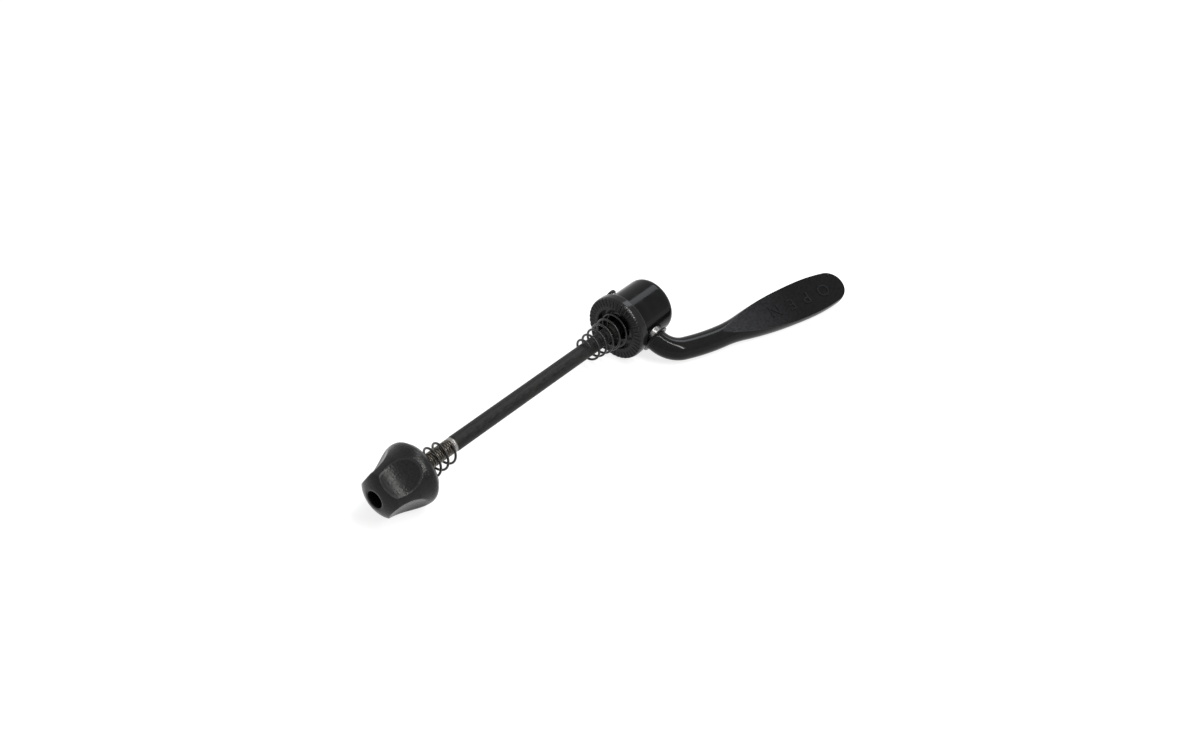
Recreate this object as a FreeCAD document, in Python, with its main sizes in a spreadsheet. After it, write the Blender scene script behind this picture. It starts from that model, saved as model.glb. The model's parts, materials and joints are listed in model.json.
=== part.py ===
"""Quick release skewer for a bicycle wheel, in millimetres.

The rod lies along X, from the nut to the lever. The origin is on the rod's axis, in the plane of
the clamp ring's face. In the frame that the pieces are drawn in, the lever's root is on the -Y side
and Z is square to rod and cam shaft. Every piece is then rolled about X, because the skewer lies on
the nut, the clamp ring and the lever.
"""

import FreeCAD
import Part
import Sketcher
import math
import os

V = FreeCAD.Vector
doc = FreeCAD.newDocument("QuickReleaseSkewer")

# Driving dimensions
SIZES = {
    # rod
    "rod_d": 5.0,
    "thread_d": 4.85,
    "thread_len": 23.2,
    "thread_engaged": 9.0,
    "rod_chamfer": 0.5,
    "clamp_span": 87.2,
    "eye_d": 9.2,
    "eye_width": 7.0,
    # cam shaft
    "cam_d": 5.6,
    "cam_throw": 0.6,
    "cam_depth": 9.05,
    "journal_d": 8.0,
    "tail_d": 3.2,
    "tail_head_d": 4.1,
    "tail_head_len": 1.1,
    "tail_head_crown": 0.4,
    "shoulder_d": 9.9,
    "shoulder_thick": 1.0,
    "run_clear": 0.05,
    "side_gap": 0.45,
    # lever
    "arm_d": 7.4,
    "arm_straight": 0.3,
    "bend_radius": 8.5,
    "bend_exit": 24.0,
    "sweep_radius": 80.0,
    "arm_flare": 13.6,
    "blade_len": 50.5,
    "blade_peak": 34.0,
    "blade_width": 13.25,
    "blade_swell_radius": 43.0,
    "blade_tip_inset": 1.35,
    "blade_thick": 2.4,
    "flat_lead": 3.0,
    # housing and clamp ring
    "house_d": 18.4,
    "house_len": 19.1,
    "house_wall": 1.7,
    "house_chamfer": 1.3,
    "ring_d": 21.5,
    "ring_thick": 3.7,
    "ring_chamfer": 0.5,
    "ring_bore_d": 8.8,
    "ring_recess_d": 13.8,
    "ring_recess_depth": 2.0,
    "ring_spigot_len": 1.2,
    "ring_spigot_wall": 1.0,
    "serration_count": 40,
    "serration_width": 0.6,
    "serration_depth": 0.35,
    "serration_inner_d": 16.2,
    # nut
    "nut_d": 19.7,
    "nut_len": 16.4,
    "nut_base_d": 16.8,
    "nut_belly": 2.0,
    "nut_belly_len": 1.6,
    "nut_tip_d": 13.0,
    "nut_tip_chamfer": 1.2,
    "nut_hole_d": 5.5,
    "nut_setback": 0.3,
    "scoop_count": 4,
    "scoop_r": 10.6,
    "scoop_floor_d": 10.8,
    "scoop_back": 12.8,
    "insert_hub_d": 7.4,
    "insert_flange_d": 15.0,
    "insert_flange_thick": 1.7,
    "insert_recess_d": 12.2,
    "insert_recess_depth": 0.8,
    "insert_teeth": 24,
    "insert_teeth_inner_d": 12.6,
    "thread_clear": 0.05,
    "fit_clear": 0.02,
    # springs
    "wire_d": 0.75,
    "wire_sides": 6,
    "seat_gap": 0.05,
    "nut_spring_base_d": 10.0,
    "nut_spring_tip_d": 8.1,
    "nut_spring_len": 12.9,
    "nut_spring_turns": 3.7,
    "nut_spring_start": 101.0,
    "nut_spring_sag": 0.8,
    "lever_spring_base_d": 11.9,
    "lever_spring_tip_d": 8.0,
    "lever_spring_len": 16.75,
    "lever_spring_turns": 5.5,
    "lever_spring_start": 143.0,
    "lever_spring_sag": 0.02,
    # pose at rest
    "lever_lift": 7.8,
    "rest_roll": 23.0,
    "nut_turn": 33.0,
}

sheet = doc.addObject("Spreadsheet::Sheet", "Sizes")
for row, (alias, number) in enumerate(SIZES.items(), start=1):
    sheet.set(f"A{row}", alias)
    sheet.set(f"B{row}", str(number))
    sheet.setAlias(f"B{row}", alias)
doc.recompute()


def size(alias):
    """A driving dimension, read from the sheet."""
    return float(sheet.get(alias))


# Sketches and features
# These name the points of a sketch's element, and the sketch's own axes.

START, END, CENTRE = range(1, 4)
UP_AXIS, ACROSS_AXIS = range(-2, 0)
ORIGIN = ACROSS_AXIS


def new_body(label):
    body = doc.addObject("PartDesign::Body", label)
    body.Label = label
    return body


def plane_of(body, role):
    return next(f for f in body.Origin.OriginFeatures if f.Role == role)


def new_sketch(body, name, role, offset=None):
    """A sketch on one of the body's origin planes, moved by offset within that plane's frame."""
    sketch = body.newObject("Sketcher::SketchObject", name)
    sketch.AttachmentSupport = (plane_of(body, role), [""])
    sketch.MapMode = "FlatFace"
    if offset is not None:
        sketch.AttachmentOffset = offset
    return sketch


def bind(sketch, constraint, expression):
    """Adds a constraint and ties its value to the sheet."""
    index = sketch.addConstraint(constraint)
    sketch.setExpression(f"Constraints[{index}]", expression)


def outline(body, name, role, corners):
    """A closed outline of straight edges; each corner is a pair of expressions in sheet sizes."""
    sketch = new_sketch(body, name, role)
    count = len(corners)
    turns = [2 * math.pi * i / count for i in range(count)]
    start = [V(math.cos(turn), math.sin(turn), 0) for turn in turns]
    for i in range(count):
        sketch.addGeometry(Part.LineSegment(start[i], start[(i + 1) % count]))
    for i in range(count):
        sketch.addConstraint(Sketcher.Constraint("Coincident", i, END, (i + 1) % count, START))
    for i, (across, up) in enumerate(corners):
        bind(sketch, Sketcher.Constraint("DistanceX", ORIGIN, START, i, START, start[i].x), across)
        bind(sketch, Sketcher.Constraint("DistanceY", ORIGIN, START, i, START, start[i].y), up)
    return sketch


def circle(body, name, role, across, up, diameter, offset=None):
    """A circle at a place and with a diameter given as expressions."""
    sketch = new_sketch(body, name, role, offset)
    sketch.addGeometry(Part.Circle(V(0, 0, 0), V(0, 0, 1), 1.0))
    bind(sketch, Sketcher.Constraint("Diameter", 0, 2.0), diameter)
    bind(sketch, Sketcher.Constraint("DistanceX", ORIGIN, START, 0, CENTRE, 0.0), across)
    bind(sketch, Sketcher.Constraint("DistanceY", ORIGIN, START, 0, CENTRE, 0.0), up)
    return sketch


def revolve(body, name, sketch, axis="H_Axis"):
    """A full turn of a sketch about one of its own axes."""
    feature = body.newObject("PartDesign::Revolution", name)
    feature.Profile = sketch
    feature.ReferenceAxis = (sketch, [axis])
    feature.Angle = 360
    doc.recompute()
    return feature


def pad(body, name, sketch, length):
    """A pad as long on one side of its sketch as on the other."""
    feature = body.newObject("PartDesign::Pad", name)
    feature.Profile = sketch
    feature.Midplane = True
    feature.setExpression("Length", length)
    doc.recompute()
    return feature


def pocket(body, name, sketch, length, midplane=False, reverse=False):
    """A pocket that has to take material away."""
    before = body.Shape.Volume
    feature = body.newObject("PartDesign::Pocket", name)
    feature.Profile = sketch
    feature.Midplane = midplane
    feature.Reversed = reverse
    feature.setExpression("Length", length)
    doc.recompute()
    if not body.Shape.Volume < before:
        raise RuntimeError(f"{name} cut nothing")
    return feature


def repeat(body, name, feature, count):
    """Copies of a cut, spread evenly about the body's X axis."""
    before = body.Shape.Volume
    pattern = body.newObject("PartDesign::PolarPattern", name)
    pattern.Originals = [feature]
    pattern.Axis = (plane_of(body, "X_Axis"), [""])
    pattern.Angle = 360
    pattern.setExpression("Occurrences", count)
    body.Tip = pattern
    doc.recompute()
    if not body.Shape.Volume < before:
        raise RuntimeError(f"{name} cut nothing")
    return pattern


def hoops(feature, place, diameter):
    """Names of a feature's round edges about the X axis at one place and of one diameter."""
    found = []
    for index, edge in enumerate(feature.Shape.Edges, start=1):
        curve = edge.Curve
        if not isinstance(curve, Part.Circle):
            continue
        here = abs(curve.Center.x - place) < 1e-4 and abs(curve.Radius - diameter / 2) < 1e-4
        if here and abs(curve.Axis.x) > 0.999:
            found.append(f"Edge{index}")
    return found


def bevel(body, name, feature, edges, width):
    """A chamfer along named edges of the last feature."""
    chamfer = body.newObject("PartDesign::Chamfer", name)
    chamfer.Base = (feature, edges)
    chamfer.setExpression("Size", width)
    doc.recompute()
    return chamfer


def groove_outline(body, name, inner, outer):
    """Outline of one radial groove in a clamp face at X = 0, from an inner to an outer diameter."""
    half = "Sizes.serration_width / 2"
    corners = [
        (f"-{half}", f"{inner} / 2"),
        (half, f"{inner} / 2"),
        (half, f"{outer} / 2 + Sizes.serration_width"),
        (f"-{half}", f"{outer} / 2 + Sizes.serration_width"),
    ]
    return outline(body, name, "YZ_Plane", corners)


# Places that several pieces share

ROLL = FreeCAD.Rotation(V(1, 0, 0), size("rest_roll"))
LIFT = FreeCAD.Rotation(V(0, -1, 0), size("lever_lift"))
lift = math.radians(size("lever_lift"))
house_rise = size("cam_throw") * math.cos(lift)

EYE_X = "(Sizes.cam_depth + Sizes.cam_throw * sin(Sizes.lever_lift))"


def rolled(place=V(0, 0, 0), turn=FreeCAD.Rotation()):
    """Placement of a piece drawn about the skewer's frame, as the skewer lies."""
    return FreeCAD.Placement(ROLL.multVec(place), ROLL.multiply(turn))


# Rod with thread end and eye head

rod = new_body("skewer_rod")
rod_end = "-Sizes.clamp_span - Sizes.thread_engaged"
rod_profile = outline(
    rod,
    "rod_profile",
    "XZ_Plane",
    [
        (rod_end, "0"),
        (EYE_X, "0"),
        (EYE_X, "Sizes.rod_d / 2"),
        (f"{rod_end} + Sizes.thread_len", "Sizes.rod_d / 2"),
        (f"{rod_end} + Sizes.thread_len", "Sizes.thread_d / 2"),
        (f"{rod_end} + Sizes.rod_chamfer", "Sizes.thread_d / 2"),
        (rod_end, "Sizes.thread_d / 2 - Sizes.rod_chamfer"),
    ],
)
revolve(rod, "rod_turned", rod_profile)
eye_outline = circle(rod, "eye_outline", "XZ_Plane", EYE_X, "0", "Sizes.eye_d")
pad(rod, "eye_head", eye_outline, "Sizes.eye_width")
eye_hole = circle(rod, "eye_hole", "XZ_Plane", EYE_X, "0", "Sizes.cam_d + 2 * Sizes.run_clear")
pocket(rod, "eye_bore", eye_hole, "2 * Sizes.eye_width", midplane=True)
rod.Placement = rolled()

# Lever, one forged piece with its cam shaft
# It is drawn about the journal's axis, with the arm straight out along X.

lever = new_body("cam_lever")
shoulder_in = "(Sizes.house_d / 2 + Sizes.side_gap)"
shoulder_out = f"({shoulder_in} + Sizes.shoulder_thick)"
cam_half = "(Sizes.eye_width / 2 + Sizes.side_gap)"
tail_end = f"({shoulder_in} + Sizes.tail_head_len)"
shaft_profile = outline(
    lever,
    "shaft_profile",
    "XY_Plane",
    [
        ("0", f"-{shoulder_out}"),
        ("Sizes.shoulder_d / 2", f"-{shoulder_out}"),
        ("Sizes.shoulder_d / 2", f"-{shoulder_in}"),
        ("Sizes.journal_d / 2", f"-{shoulder_in}"),
        ("Sizes.journal_d / 2", f"-{cam_half}"),
        ("Sizes.tail_d / 2", f"-{cam_half}"),
        ("Sizes.tail_d / 2", shoulder_in),
        ("Sizes.tail_head_d / 2", shoulder_in),
        ("Sizes.tail_head_d / 2", f"{tail_end} - Sizes.tail_head_crown"),
        ("Sizes.tail_d / 2", tail_end),
        ("0", tail_end),
    ],
)
revolve(lever, "shaft_turned", shaft_profile, axis="V_Axis")
cam_outline = circle(lever, "cam_outline", "XZ_Plane", "0", "-Sizes.cam_throw", "Sizes.cam_d")
pad(lever, "cam", cam_outline, f"2 * {cam_half}")

# The arm leaves the shoulder square to the rod, bends sharply and then gently to the blade's line
shoulder_face = size("house_d") / 2 + size("side_gap") + size("shoulder_thick")
bend_start = shoulder_face + size("arm_straight")
bend_exit = math.radians(size("bend_exit"))
flare = math.radians(size("arm_flare"))
bend_centre = V(size("bend_radius"), -bend_start, 0)
bend_end = bend_centre + size("bend_radius") * V(-math.sin(bend_exit), -math.cos(bend_exit), 0)
sweep_centre = bend_end + size("sweep_radius") * V(math.sin(bend_exit), math.cos(bend_exit), 0)


def arc_between(centre, radius, first, last):
    """An arc by its centre, radius and two directions in degrees."""
    whole = Part.Circle(centre, V(0, 0, 1), radius)
    return Part.ArcOfCircle(whole, math.radians(first), math.radians(last))


arm_path = new_sketch(lever, "arm_path", "XY_Plane")
arm_path.addGeometry(Part.LineSegment(V(0, -shoulder_face, 0), V(0, -bend_start, 0)))
arm_path.addGeometry(arc_between(bend_centre, size("bend_radius"), 180, 270 - size("bend_exit")))
arm_path.addGeometry(
    arc_between(sweep_centre, size("sweep_radius"), 270 - size("bend_exit"), 270 - size("arm_flare"))
)
LEG, BEND, SWEEP = range(3)
leg_len = size("arm_straight")
arm_path.addConstraint(Sketcher.Constraint("PointOnObject", LEG, START, UP_AXIS))
arm_path.addConstraint(Sketcher.Constraint("Vertical", LEG))
arm_path.addConstraint(Sketcher.Constraint("Tangent", LEG, END, BEND, START))
arm_path.addConstraint(Sketcher.Constraint("Tangent", BEND, END, SWEEP, START))
bind(
    arm_path,
    Sketcher.Constraint("DistanceY", ORIGIN, START, LEG, START, -shoulder_face),
    f"-{shoulder_out}",
)
bind(arm_path, Sketcher.Constraint("DistanceY", LEG, END, LEG, START, leg_len), "Sizes.arm_straight")
bind(arm_path, Sketcher.Constraint("Radius", BEND, size("bend_radius")), "Sizes.bend_radius")
bind(arm_path, Sketcher.Constraint("Radius", SWEEP, size("sweep_radius")), "Sizes.sweep_radius")
bind(arm_path, Sketcher.Constraint("Angle", BEND, math.pi / 2 - bend_exit), "90 - Sizes.bend_exit")
bind(arm_path, Sketcher.Constraint("Angle", SWEEP, bend_exit - flare), "Sizes.bend_exit - Sizes.arm_flare")
arm_foot = FreeCAD.Placement(V(0, 0, shoulder_face), FreeCAD.Rotation())
arm_section = circle(lever, "arm_section", "XZ_Plane", "0", "0", "Sizes.arm_d", arm_foot)
arm = lever.newObject("PartDesign::AdditivePipe", "arm")
arm.Profile = arm_section
arm.Spine = (arm_path, ["Edge1", "Edge2", "Edge3"])
doc.recompute()

# The blade is a turned club on the arm's end: it swells to its peak and ends in a round tip
BLADE_X = (
    "(Sizes.bend_radius * (1 - sin(Sizes.bend_exit))"
    " + Sizes.sweep_radius * (sin(Sizes.bend_exit) - sin(Sizes.arm_flare)))"
)
BLADE_Y = (
    f"(-{shoulder_out} - Sizes.arm_straight - Sizes.bend_radius * cos(Sizes.bend_exit)"
    " + Sizes.sweep_radius * (cos(Sizes.bend_exit) - cos(Sizes.arm_flare)))"
)
root_r = size("arm_d") / 2
peak_r = size("blade_width") / 2
tip_r = peak_r - size("blade_tip_inset")
swell_r = size("blade_swell_radius")
peak_x = size("blade_peak")
tip_x = size("blade_len")

# Two arcs from root to peak share their slope where they meet, and so do two from peak to tip
crown_r = (peak_x**2 + (peak_r - root_r) ** 2) / 2 / (peak_r - root_r) - swell_r
flank_reach = tip_x - tip_r - peak_x
flank_r = (flank_reach**2 + peak_r**2 - tip_r**2) / 2 / (peak_r - tip_r)
swell_centre = V(0, root_r + swell_r, 0)
crown_centre = V(peak_x, peak_r - crown_r, 0)
flank_centre = V(peak_x, peak_r - flank_r, 0)
tip_centre = V(tip_x - tip_r, 0, 0)
crown_lean = math.degrees(math.atan2(swell_centre.y - crown_centre.y, -peak_x))
flank_lean = math.degrees(math.atan2(-flank_centre.y, flank_reach))

along_blade = FreeCAD.Placement(V(0, 0, 0), FreeCAD.Rotation(V(0, 0, 1), -size("arm_flare")))
club = new_sketch(lever, "club_outline", "XY_Plane", along_blade)
club.setExpression("AttachmentOffset.Base.x", BLADE_X)
club.setExpression("AttachmentOffset.Base.y", BLADE_Y)
club.addGeometry(Part.LineSegment(V(0, 0, 0), V(tip_x, 0, 0)))
club.addGeometry(arc_between(tip_centre, tip_r, 0, flank_lean))
club.addGeometry(arc_between(flank_centre, flank_r, flank_lean, 90))
club.addGeometry(arc_between(crown_centre, crown_r, 90, crown_lean))
club.addGeometry(arc_between(swell_centre, swell_r, 270, crown_lean + 180))
club.addGeometry(Part.LineSegment(V(0, root_r, 0), V(0, 0, 0)))
AXIS, TIP_ARC, FLANK_ARC, CROWN_ARC, SWELL_ARC, ROOT_EDGE = range(6)
club.addConstraint(Sketcher.Constraint("Coincident", AXIS, START, ORIGIN, START))
club.addConstraint(Sketcher.Constraint("Horizontal", AXIS))
club.addConstraint(Sketcher.Constraint("Coincident", AXIS, END, TIP_ARC, START))
club.addConstraint(Sketcher.Constraint("PointOnObject", TIP_ARC, CENTRE, ACROSS_AXIS))
club.addConstraint(Sketcher.Constraint("Tangent", TIP_ARC, END, FLANK_ARC, START))
club.addConstraint(Sketcher.Constraint("Tangent", FLANK_ARC, END, CROWN_ARC, START))
club.addConstraint(Sketcher.Constraint("Tangent", CROWN_ARC, END, SWELL_ARC, END))
club.addConstraint(Sketcher.Constraint("PointOnObject", SWELL_ARC, CENTRE, UP_AXIS))
club.addConstraint(Sketcher.Constraint("Coincident", SWELL_ARC, START, ROOT_EDGE, START))
club.addConstraint(Sketcher.Constraint("Coincident", ROOT_EDGE, END, ORIGIN, START))
club.addConstraint(Sketcher.Constraint("Vertical", ROOT_EDGE))
bind(club, Sketcher.Constraint("DistanceX", ORIGIN, START, AXIS, END, tip_x), "Sizes.blade_len")
bind(club, Sketcher.Constraint("DistanceX", ORIGIN, START, FLANK_ARC, CENTRE, peak_x), "Sizes.blade_peak")
bind(club, Sketcher.Constraint("DistanceX", ORIGIN, START, FLANK_ARC, END, peak_x), "Sizes.blade_peak")
bind(club, Sketcher.Constraint("DistanceY", ORIGIN, START, FLANK_ARC, END, peak_r), "Sizes.blade_width / 2")
bind(club, Sketcher.Constraint("DistanceY", ORIGIN, START, ROOT_EDGE, START, root_r), "Sizes.arm_d / 2")
bind(club, Sketcher.Constraint("Radius", TIP_ARC, tip_r), "Sizes.blade_width / 2 - Sizes.blade_tip_inset")
bind(club, Sketcher.Constraint("Radius", SWELL_ARC, swell_r), "Sizes.blade_swell_radius")
revolve(lever, "club", club)

# Two flats, above and below, start near the blade's root, close in to its peak and run parallel from there
FLAT_X = f"({BLADE_X} + Sizes.flat_lead * cos(Sizes.arm_flare))"
PEAK_X = f"({BLADE_X} + Sizes.blade_peak * cos(Sizes.arm_flare))"
TIP_X = f"({BLADE_X} + Sizes.blade_len * cos(Sizes.arm_flare))"
FALL = f"((Sizes.arm_d - Sizes.blade_thick) / 2 / ({PEAK_X} - {FLAT_X}))"
BEYOND = "Sizes.arm_d"
for side, name in (("1", "flat_above"), ("-1", "flat_below")):
    cut_outline = outline(
        lever,
        f"{name}_outline",
        "XZ_Plane",
        [
            (f"{FLAT_X} - {BEYOND}", f"{side} * (Sizes.arm_d / 2 + {BEYOND} * {FALL})"),
            (PEAK_X, f"{side} * Sizes.blade_thick / 2"),
            (f"{TIP_X} + {BEYOND}", f"{side} * Sizes.blade_thick / 2"),
            (f"{TIP_X} + {BEYOND}", f"{side} * (Sizes.blade_width / 2 + {BEYOND})"),
            (f"{FLAT_X} - {BEYOND}", f"{side} * (Sizes.blade_width / 2 + {BEYOND})"),
        ],
    )
    pocket(lever, name, cut_outline, "4 * Sizes.blade_len", midplane=True)
lever.Placement = rolled(V(size("cam_depth"), 0, house_rise), LIFT)

# Clamp ring: serrated face, spring seat and a spigot that is pressed into the housing

ring = new_body("clamp_ring")
spigot_d = "(Sizes.house_d - 2 * Sizes.house_wall - 2 * Sizes.fit_clear)"
ring_profile = outline(
    ring,
    "ring_profile",
    "XZ_Plane",
    [
        ("0", "Sizes.ring_recess_d / 2"),
        ("0", "Sizes.ring_d / 2"),
        ("Sizes.ring_thick", "Sizes.ring_d / 2"),
        ("Sizes.ring_thick", f"{spigot_d} / 2"),
        ("Sizes.ring_thick + Sizes.ring_spigot_len", f"{spigot_d} / 2"),
        ("Sizes.ring_thick + Sizes.ring_spigot_len", f"{spigot_d} / 2 - Sizes.ring_spigot_wall"),
        ("Sizes.ring_thick", f"{spigot_d} / 2 - Sizes.ring_spigot_wall"),
        ("Sizes.ring_thick", "Sizes.ring_bore_d / 2"),
        ("Sizes.ring_recess_depth", "Sizes.ring_bore_d / 2"),
        ("Sizes.ring_recess_depth", "Sizes.ring_recess_d / 2"),
    ],
)
ring_turned = revolve(ring, "ring_turned", ring_profile)
ring_edges = hoops(ring_turned, 0, size("ring_d"))
ring_edges += hoops(ring_turned, size("ring_thick"), size("ring_d"))
bevel(ring, "ring_eased", ring_turned, ring_edges, "Sizes.ring_chamfer")
ring_groove = groove_outline(ring, "ring_groove_outline", "Sizes.serration_inner_d", "Sizes.ring_d")
groove = pocket(ring, "ring_groove", ring_groove, "Sizes.serration_depth", reverse=True)
repeat(ring, "ring_serrations", groove, "Sizes.serration_count")
ring.Placement = rolled(V(0, 0, house_rise))

# Housing: a cup with a wide bore for the journal and a narrow one for the riveted tail

house = new_body("cam_housing")
house_profile = outline(
    house,
    "house_profile",
    "XZ_Plane",
    [
        ("Sizes.ring_thick", "Sizes.house_d / 2 - Sizes.house_wall"),
        ("Sizes.ring_thick", "Sizes.house_d / 2"),
        ("Sizes.house_len", "Sizes.house_d / 2"),
        ("Sizes.house_len", "0"),
        ("Sizes.house_len - Sizes.house_wall", "0"),
        ("Sizes.house_len - Sizes.house_wall", "Sizes.house_d / 2 - Sizes.house_wall"),
    ],
)
house_turned = revolve(house, "house_turned", house_profile)
house_edges = hoops(house_turned, size("house_len"), size("house_d"))
bevel(house, "house_eased", house_turned, house_edges, "Sizes.house_chamfer")
journal_bore_d = "Sizes.journal_d + 2 * Sizes.run_clear"
journal_hole = circle(house, "journal_hole", "XZ_Plane", "Sizes.cam_depth", "0", journal_bore_d)
pocket(house, "journal_bore", journal_hole, "Sizes.house_d", reverse=True)
tail_bore_d = "Sizes.tail_d + 2 * Sizes.run_clear"
tail_hole = circle(house, "tail_hole", "XZ_Plane", "Sizes.cam_depth", "0", tail_bore_d)
pocket(house, "tail_bore", tail_hole, "Sizes.house_d")
house.Placement = rolled(V(0, 0, house_rise))

# Nut: a moulded cap with four finger scoops over a threaded insert
# Both are drawn from the clamp face at X = 0 towards the tip at -X.

cap = new_body("nut_cap")
hub_d = "(Sizes.insert_hub_d + 2 * Sizes.fit_clear)"
flange_d = "(Sizes.insert_flange_d + 2 * Sizes.fit_clear)"
cap_profile = outline(
    cap,
    "cap_profile",
    "XZ_Plane",
    [
        ("-Sizes.nut_setback", f"{flange_d} / 2"),
        ("-Sizes.nut_setback", "Sizes.nut_base_d / 2"),
        ("-Sizes.nut_belly", "Sizes.nut_d / 2"),
        ("-Sizes.nut_belly - Sizes.nut_belly_len", "Sizes.nut_d / 2"),
        ("-Sizes.nut_len", "Sizes.nut_tip_d / 2"),
        ("-Sizes.nut_len", "Sizes.nut_hole_d / 2"),
        ("-Sizes.thread_engaged", "Sizes.nut_hole_d / 2"),
        ("-Sizes.thread_engaged", f"{hub_d} / 2"),
        ("-Sizes.insert_flange_thick", f"{hub_d} / 2"),
        ("-Sizes.insert_flange_thick", f"{flange_d} / 2"),
    ],
)
cap_turned = revolve(cap, "cap_turned", cap_profile)
tip_edge = hoops(cap_turned, -size("nut_len"), size("nut_tip_d"))
bevel(cap, "cap_tip", cap_turned, tip_edge, "Sizes.nut_tip_chamfer")
scoop_outline = new_sketch(cap, "scoop_outline", "XZ_Plane")
scoop_centre = V(-size("scoop_back"), size("scoop_floor_d") / 2 + size("scoop_r"), 0)
scoop_reach = V(size("scoop_r"), 0, 0)
scoop_outline.addGeometry(arc_between(scoop_centre, size("scoop_r"), 180, 360))
scoop_outline.addGeometry(Part.LineSegment(scoop_centre + scoop_reach, scoop_centre - scoop_reach))
scoop_outline.addConstraint(Sketcher.Constraint("Coincident", 0, END, 1, START))
scoop_outline.addConstraint(Sketcher.Constraint("Coincident", 1, END, 0, START))
scoop_outline.addConstraint(Sketcher.Constraint("PointOnObject", 0, CENTRE, 1))
scoop_outline.addConstraint(Sketcher.Constraint("Horizontal", 1))
bind(scoop_outline, Sketcher.Constraint("Radius", 0, size("scoop_r")), "Sizes.scoop_r")
bind(
    scoop_outline,
    Sketcher.Constraint("DistanceX", ORIGIN, START, 0, CENTRE, scoop_centre.x),
    "-Sizes.scoop_back",
)
bind(
    scoop_outline,
    Sketcher.Constraint("DistanceY", ORIGIN, START, 0, CENTRE, scoop_centre.y),
    "Sizes.scoop_floor_d / 2 + Sizes.scoop_r",
)
scoop = cap.newObject("PartDesign::Groove", "scoop")
scoop.Profile = scoop_outline
scoop.ReferenceAxis = (scoop_outline, ["Edge2"])
scoop.Angle = 360
doc.recompute()
repeat(cap, "scoops", scoop, "Sizes.scoop_count")

insert = new_body("nut_insert")
insert_profile = outline(
    insert,
    "insert_profile",
    "XZ_Plane",
    [
        ("0", "Sizes.insert_recess_d / 2"),
        ("0", "Sizes.insert_flange_d / 2"),
        ("-Sizes.insert_flange_thick", "Sizes.insert_flange_d / 2"),
        ("-Sizes.insert_flange_thick", "Sizes.insert_hub_d / 2"),
        ("-Sizes.thread_engaged", "Sizes.insert_hub_d / 2"),
        ("-Sizes.thread_engaged", "Sizes.thread_d / 2 + Sizes.thread_clear"),
        ("-Sizes.insert_recess_depth", "Sizes.thread_d / 2 + Sizes.thread_clear"),
        ("-Sizes.insert_recess_depth", "Sizes.insert_recess_d / 2"),
    ],
)
revolve(insert, "insert_turned", insert_profile)
insert_groove = groove_outline(
    insert, "insert_groove_outline", "Sizes.insert_teeth_inner_d", "Sizes.insert_flange_d"
)
tooth_gap = pocket(insert, "insert_groove", insert_groove, "Sizes.serration_depth")
repeat(insert, "insert_serrations", tooth_gap, "Sizes.insert_teeth")
nut_turn = FreeCAD.Rotation(V(1, 0, 0), size("nut_turn"))
nut_place = FreeCAD.Placement(V(-size("clamp_span"), 0, 0), nut_turn)
cap.Placement = nut_place
insert.Placement = nut_place


# Springs: conical, with the small end towards the middle of the rod, on which they hang


def spring(label, prefix, seat, turn):
    """A wire carried along a left-handed conical helix that starts at the wide end, in its seat."""
    helix = doc.addObject("Part::Helix", f"{label}_line")
    helix.LocalCoord = "Left-handed"
    wire_run = f"(Sizes.{prefix}_len - Sizes.wire_d)"
    helix.setExpression("Radius", f"(Sizes.{prefix}_base_d - Sizes.wire_d) / 2")
    helix.setExpression("Height", wire_run)
    helix.setExpression("Pitch", f"{wire_run} / Sizes.{prefix}_turns")
    shrink = f"(Sizes.{prefix}_base_d - Sizes.{prefix}_tip_d) / 2"
    helix.setExpression("Angle", f"-atan({shrink} / {wire_run})")
    wire = doc.addObject("Part::RegularPolygon", f"{label}_wire")
    wire.setExpression("Polygon", "Sizes.wire_sides")
    wire.setExpression("Circumradius", "Sizes.wire_d / 2")
    wire.Placement = FreeCAD.Placement(
        V((size(f"{prefix}_base_d") - size("wire_d")) / 2, 0, 0), FreeCAD.Rotation(V(1, 0, 0), 90)
    )
    doc.recompute()
    coil = doc.addObject("Part::Sweep", label)
    coil.Sections = [wire]
    coil.Spine = (helix, [f"Edge{i + 1}" for i in range(len(helix.Shape.Edges))])
    coil.Solid = True
    coil.Frenet = True
    coil.Label = label
    start = FreeCAD.Rotation(V(0, 0, 1), size(f"{prefix}_start"))
    coil.Placement = FreeCAD.Placement(V(seat, 0, -size(f"{prefix}_sag")), turn.multiply(start))
    doc.recompute()
    return coil


FROM_NUT = FreeCAD.Rotation(V(0, 1, 0), 90)
FROM_RING = FreeCAD.Rotation(V(0, 1, 0), -90)
wire_lift = size("wire_d") / 2 + size("seat_gap")
nut_seat = -size("clamp_span") - size("insert_recess_depth") + wire_lift
nut_spring = spring("nut_spring", "nut_spring", nut_seat, FROM_NUT)
ring_seat = size("ring_recess_depth") - wire_lift
lever_spring = spring("lever_spring", "lever_spring", ring_seat, FROM_RING)

# Every object has to be sound before anything is written

doc.recompute()
for item in doc.Objects:
    if "Invalid" in item.State or "Error" in item.State:
        raise RuntimeError(f"{item.Name} failed: {item.State}")

PIECES = [rod, lever, ring, house, cap, insert, nut_spring, lever_spring]
for piece in PIECES:
    if piece.Shape.isNull() or not piece.Shape.isValid():
        raise RuntimeError(f"{piece.Label} has no sound shape")

os.makedirs("parts", exist_ok=True)
for piece in PIECES:
    piece.Shape.exportStep(f"parts/{piece.Label}.step")
    box = piece.Shape.BoundBox
    print(
        f"{piece.Label}: {len(piece.Shape.Solids)} solid, {piece.Shape.Volume:.1f} mm3,"
        f" x {box.XMin:.1f} to {box.XMax:.1f}, z {box.ZMin:.1f} to {box.ZMax:.1f}"
    )
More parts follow.
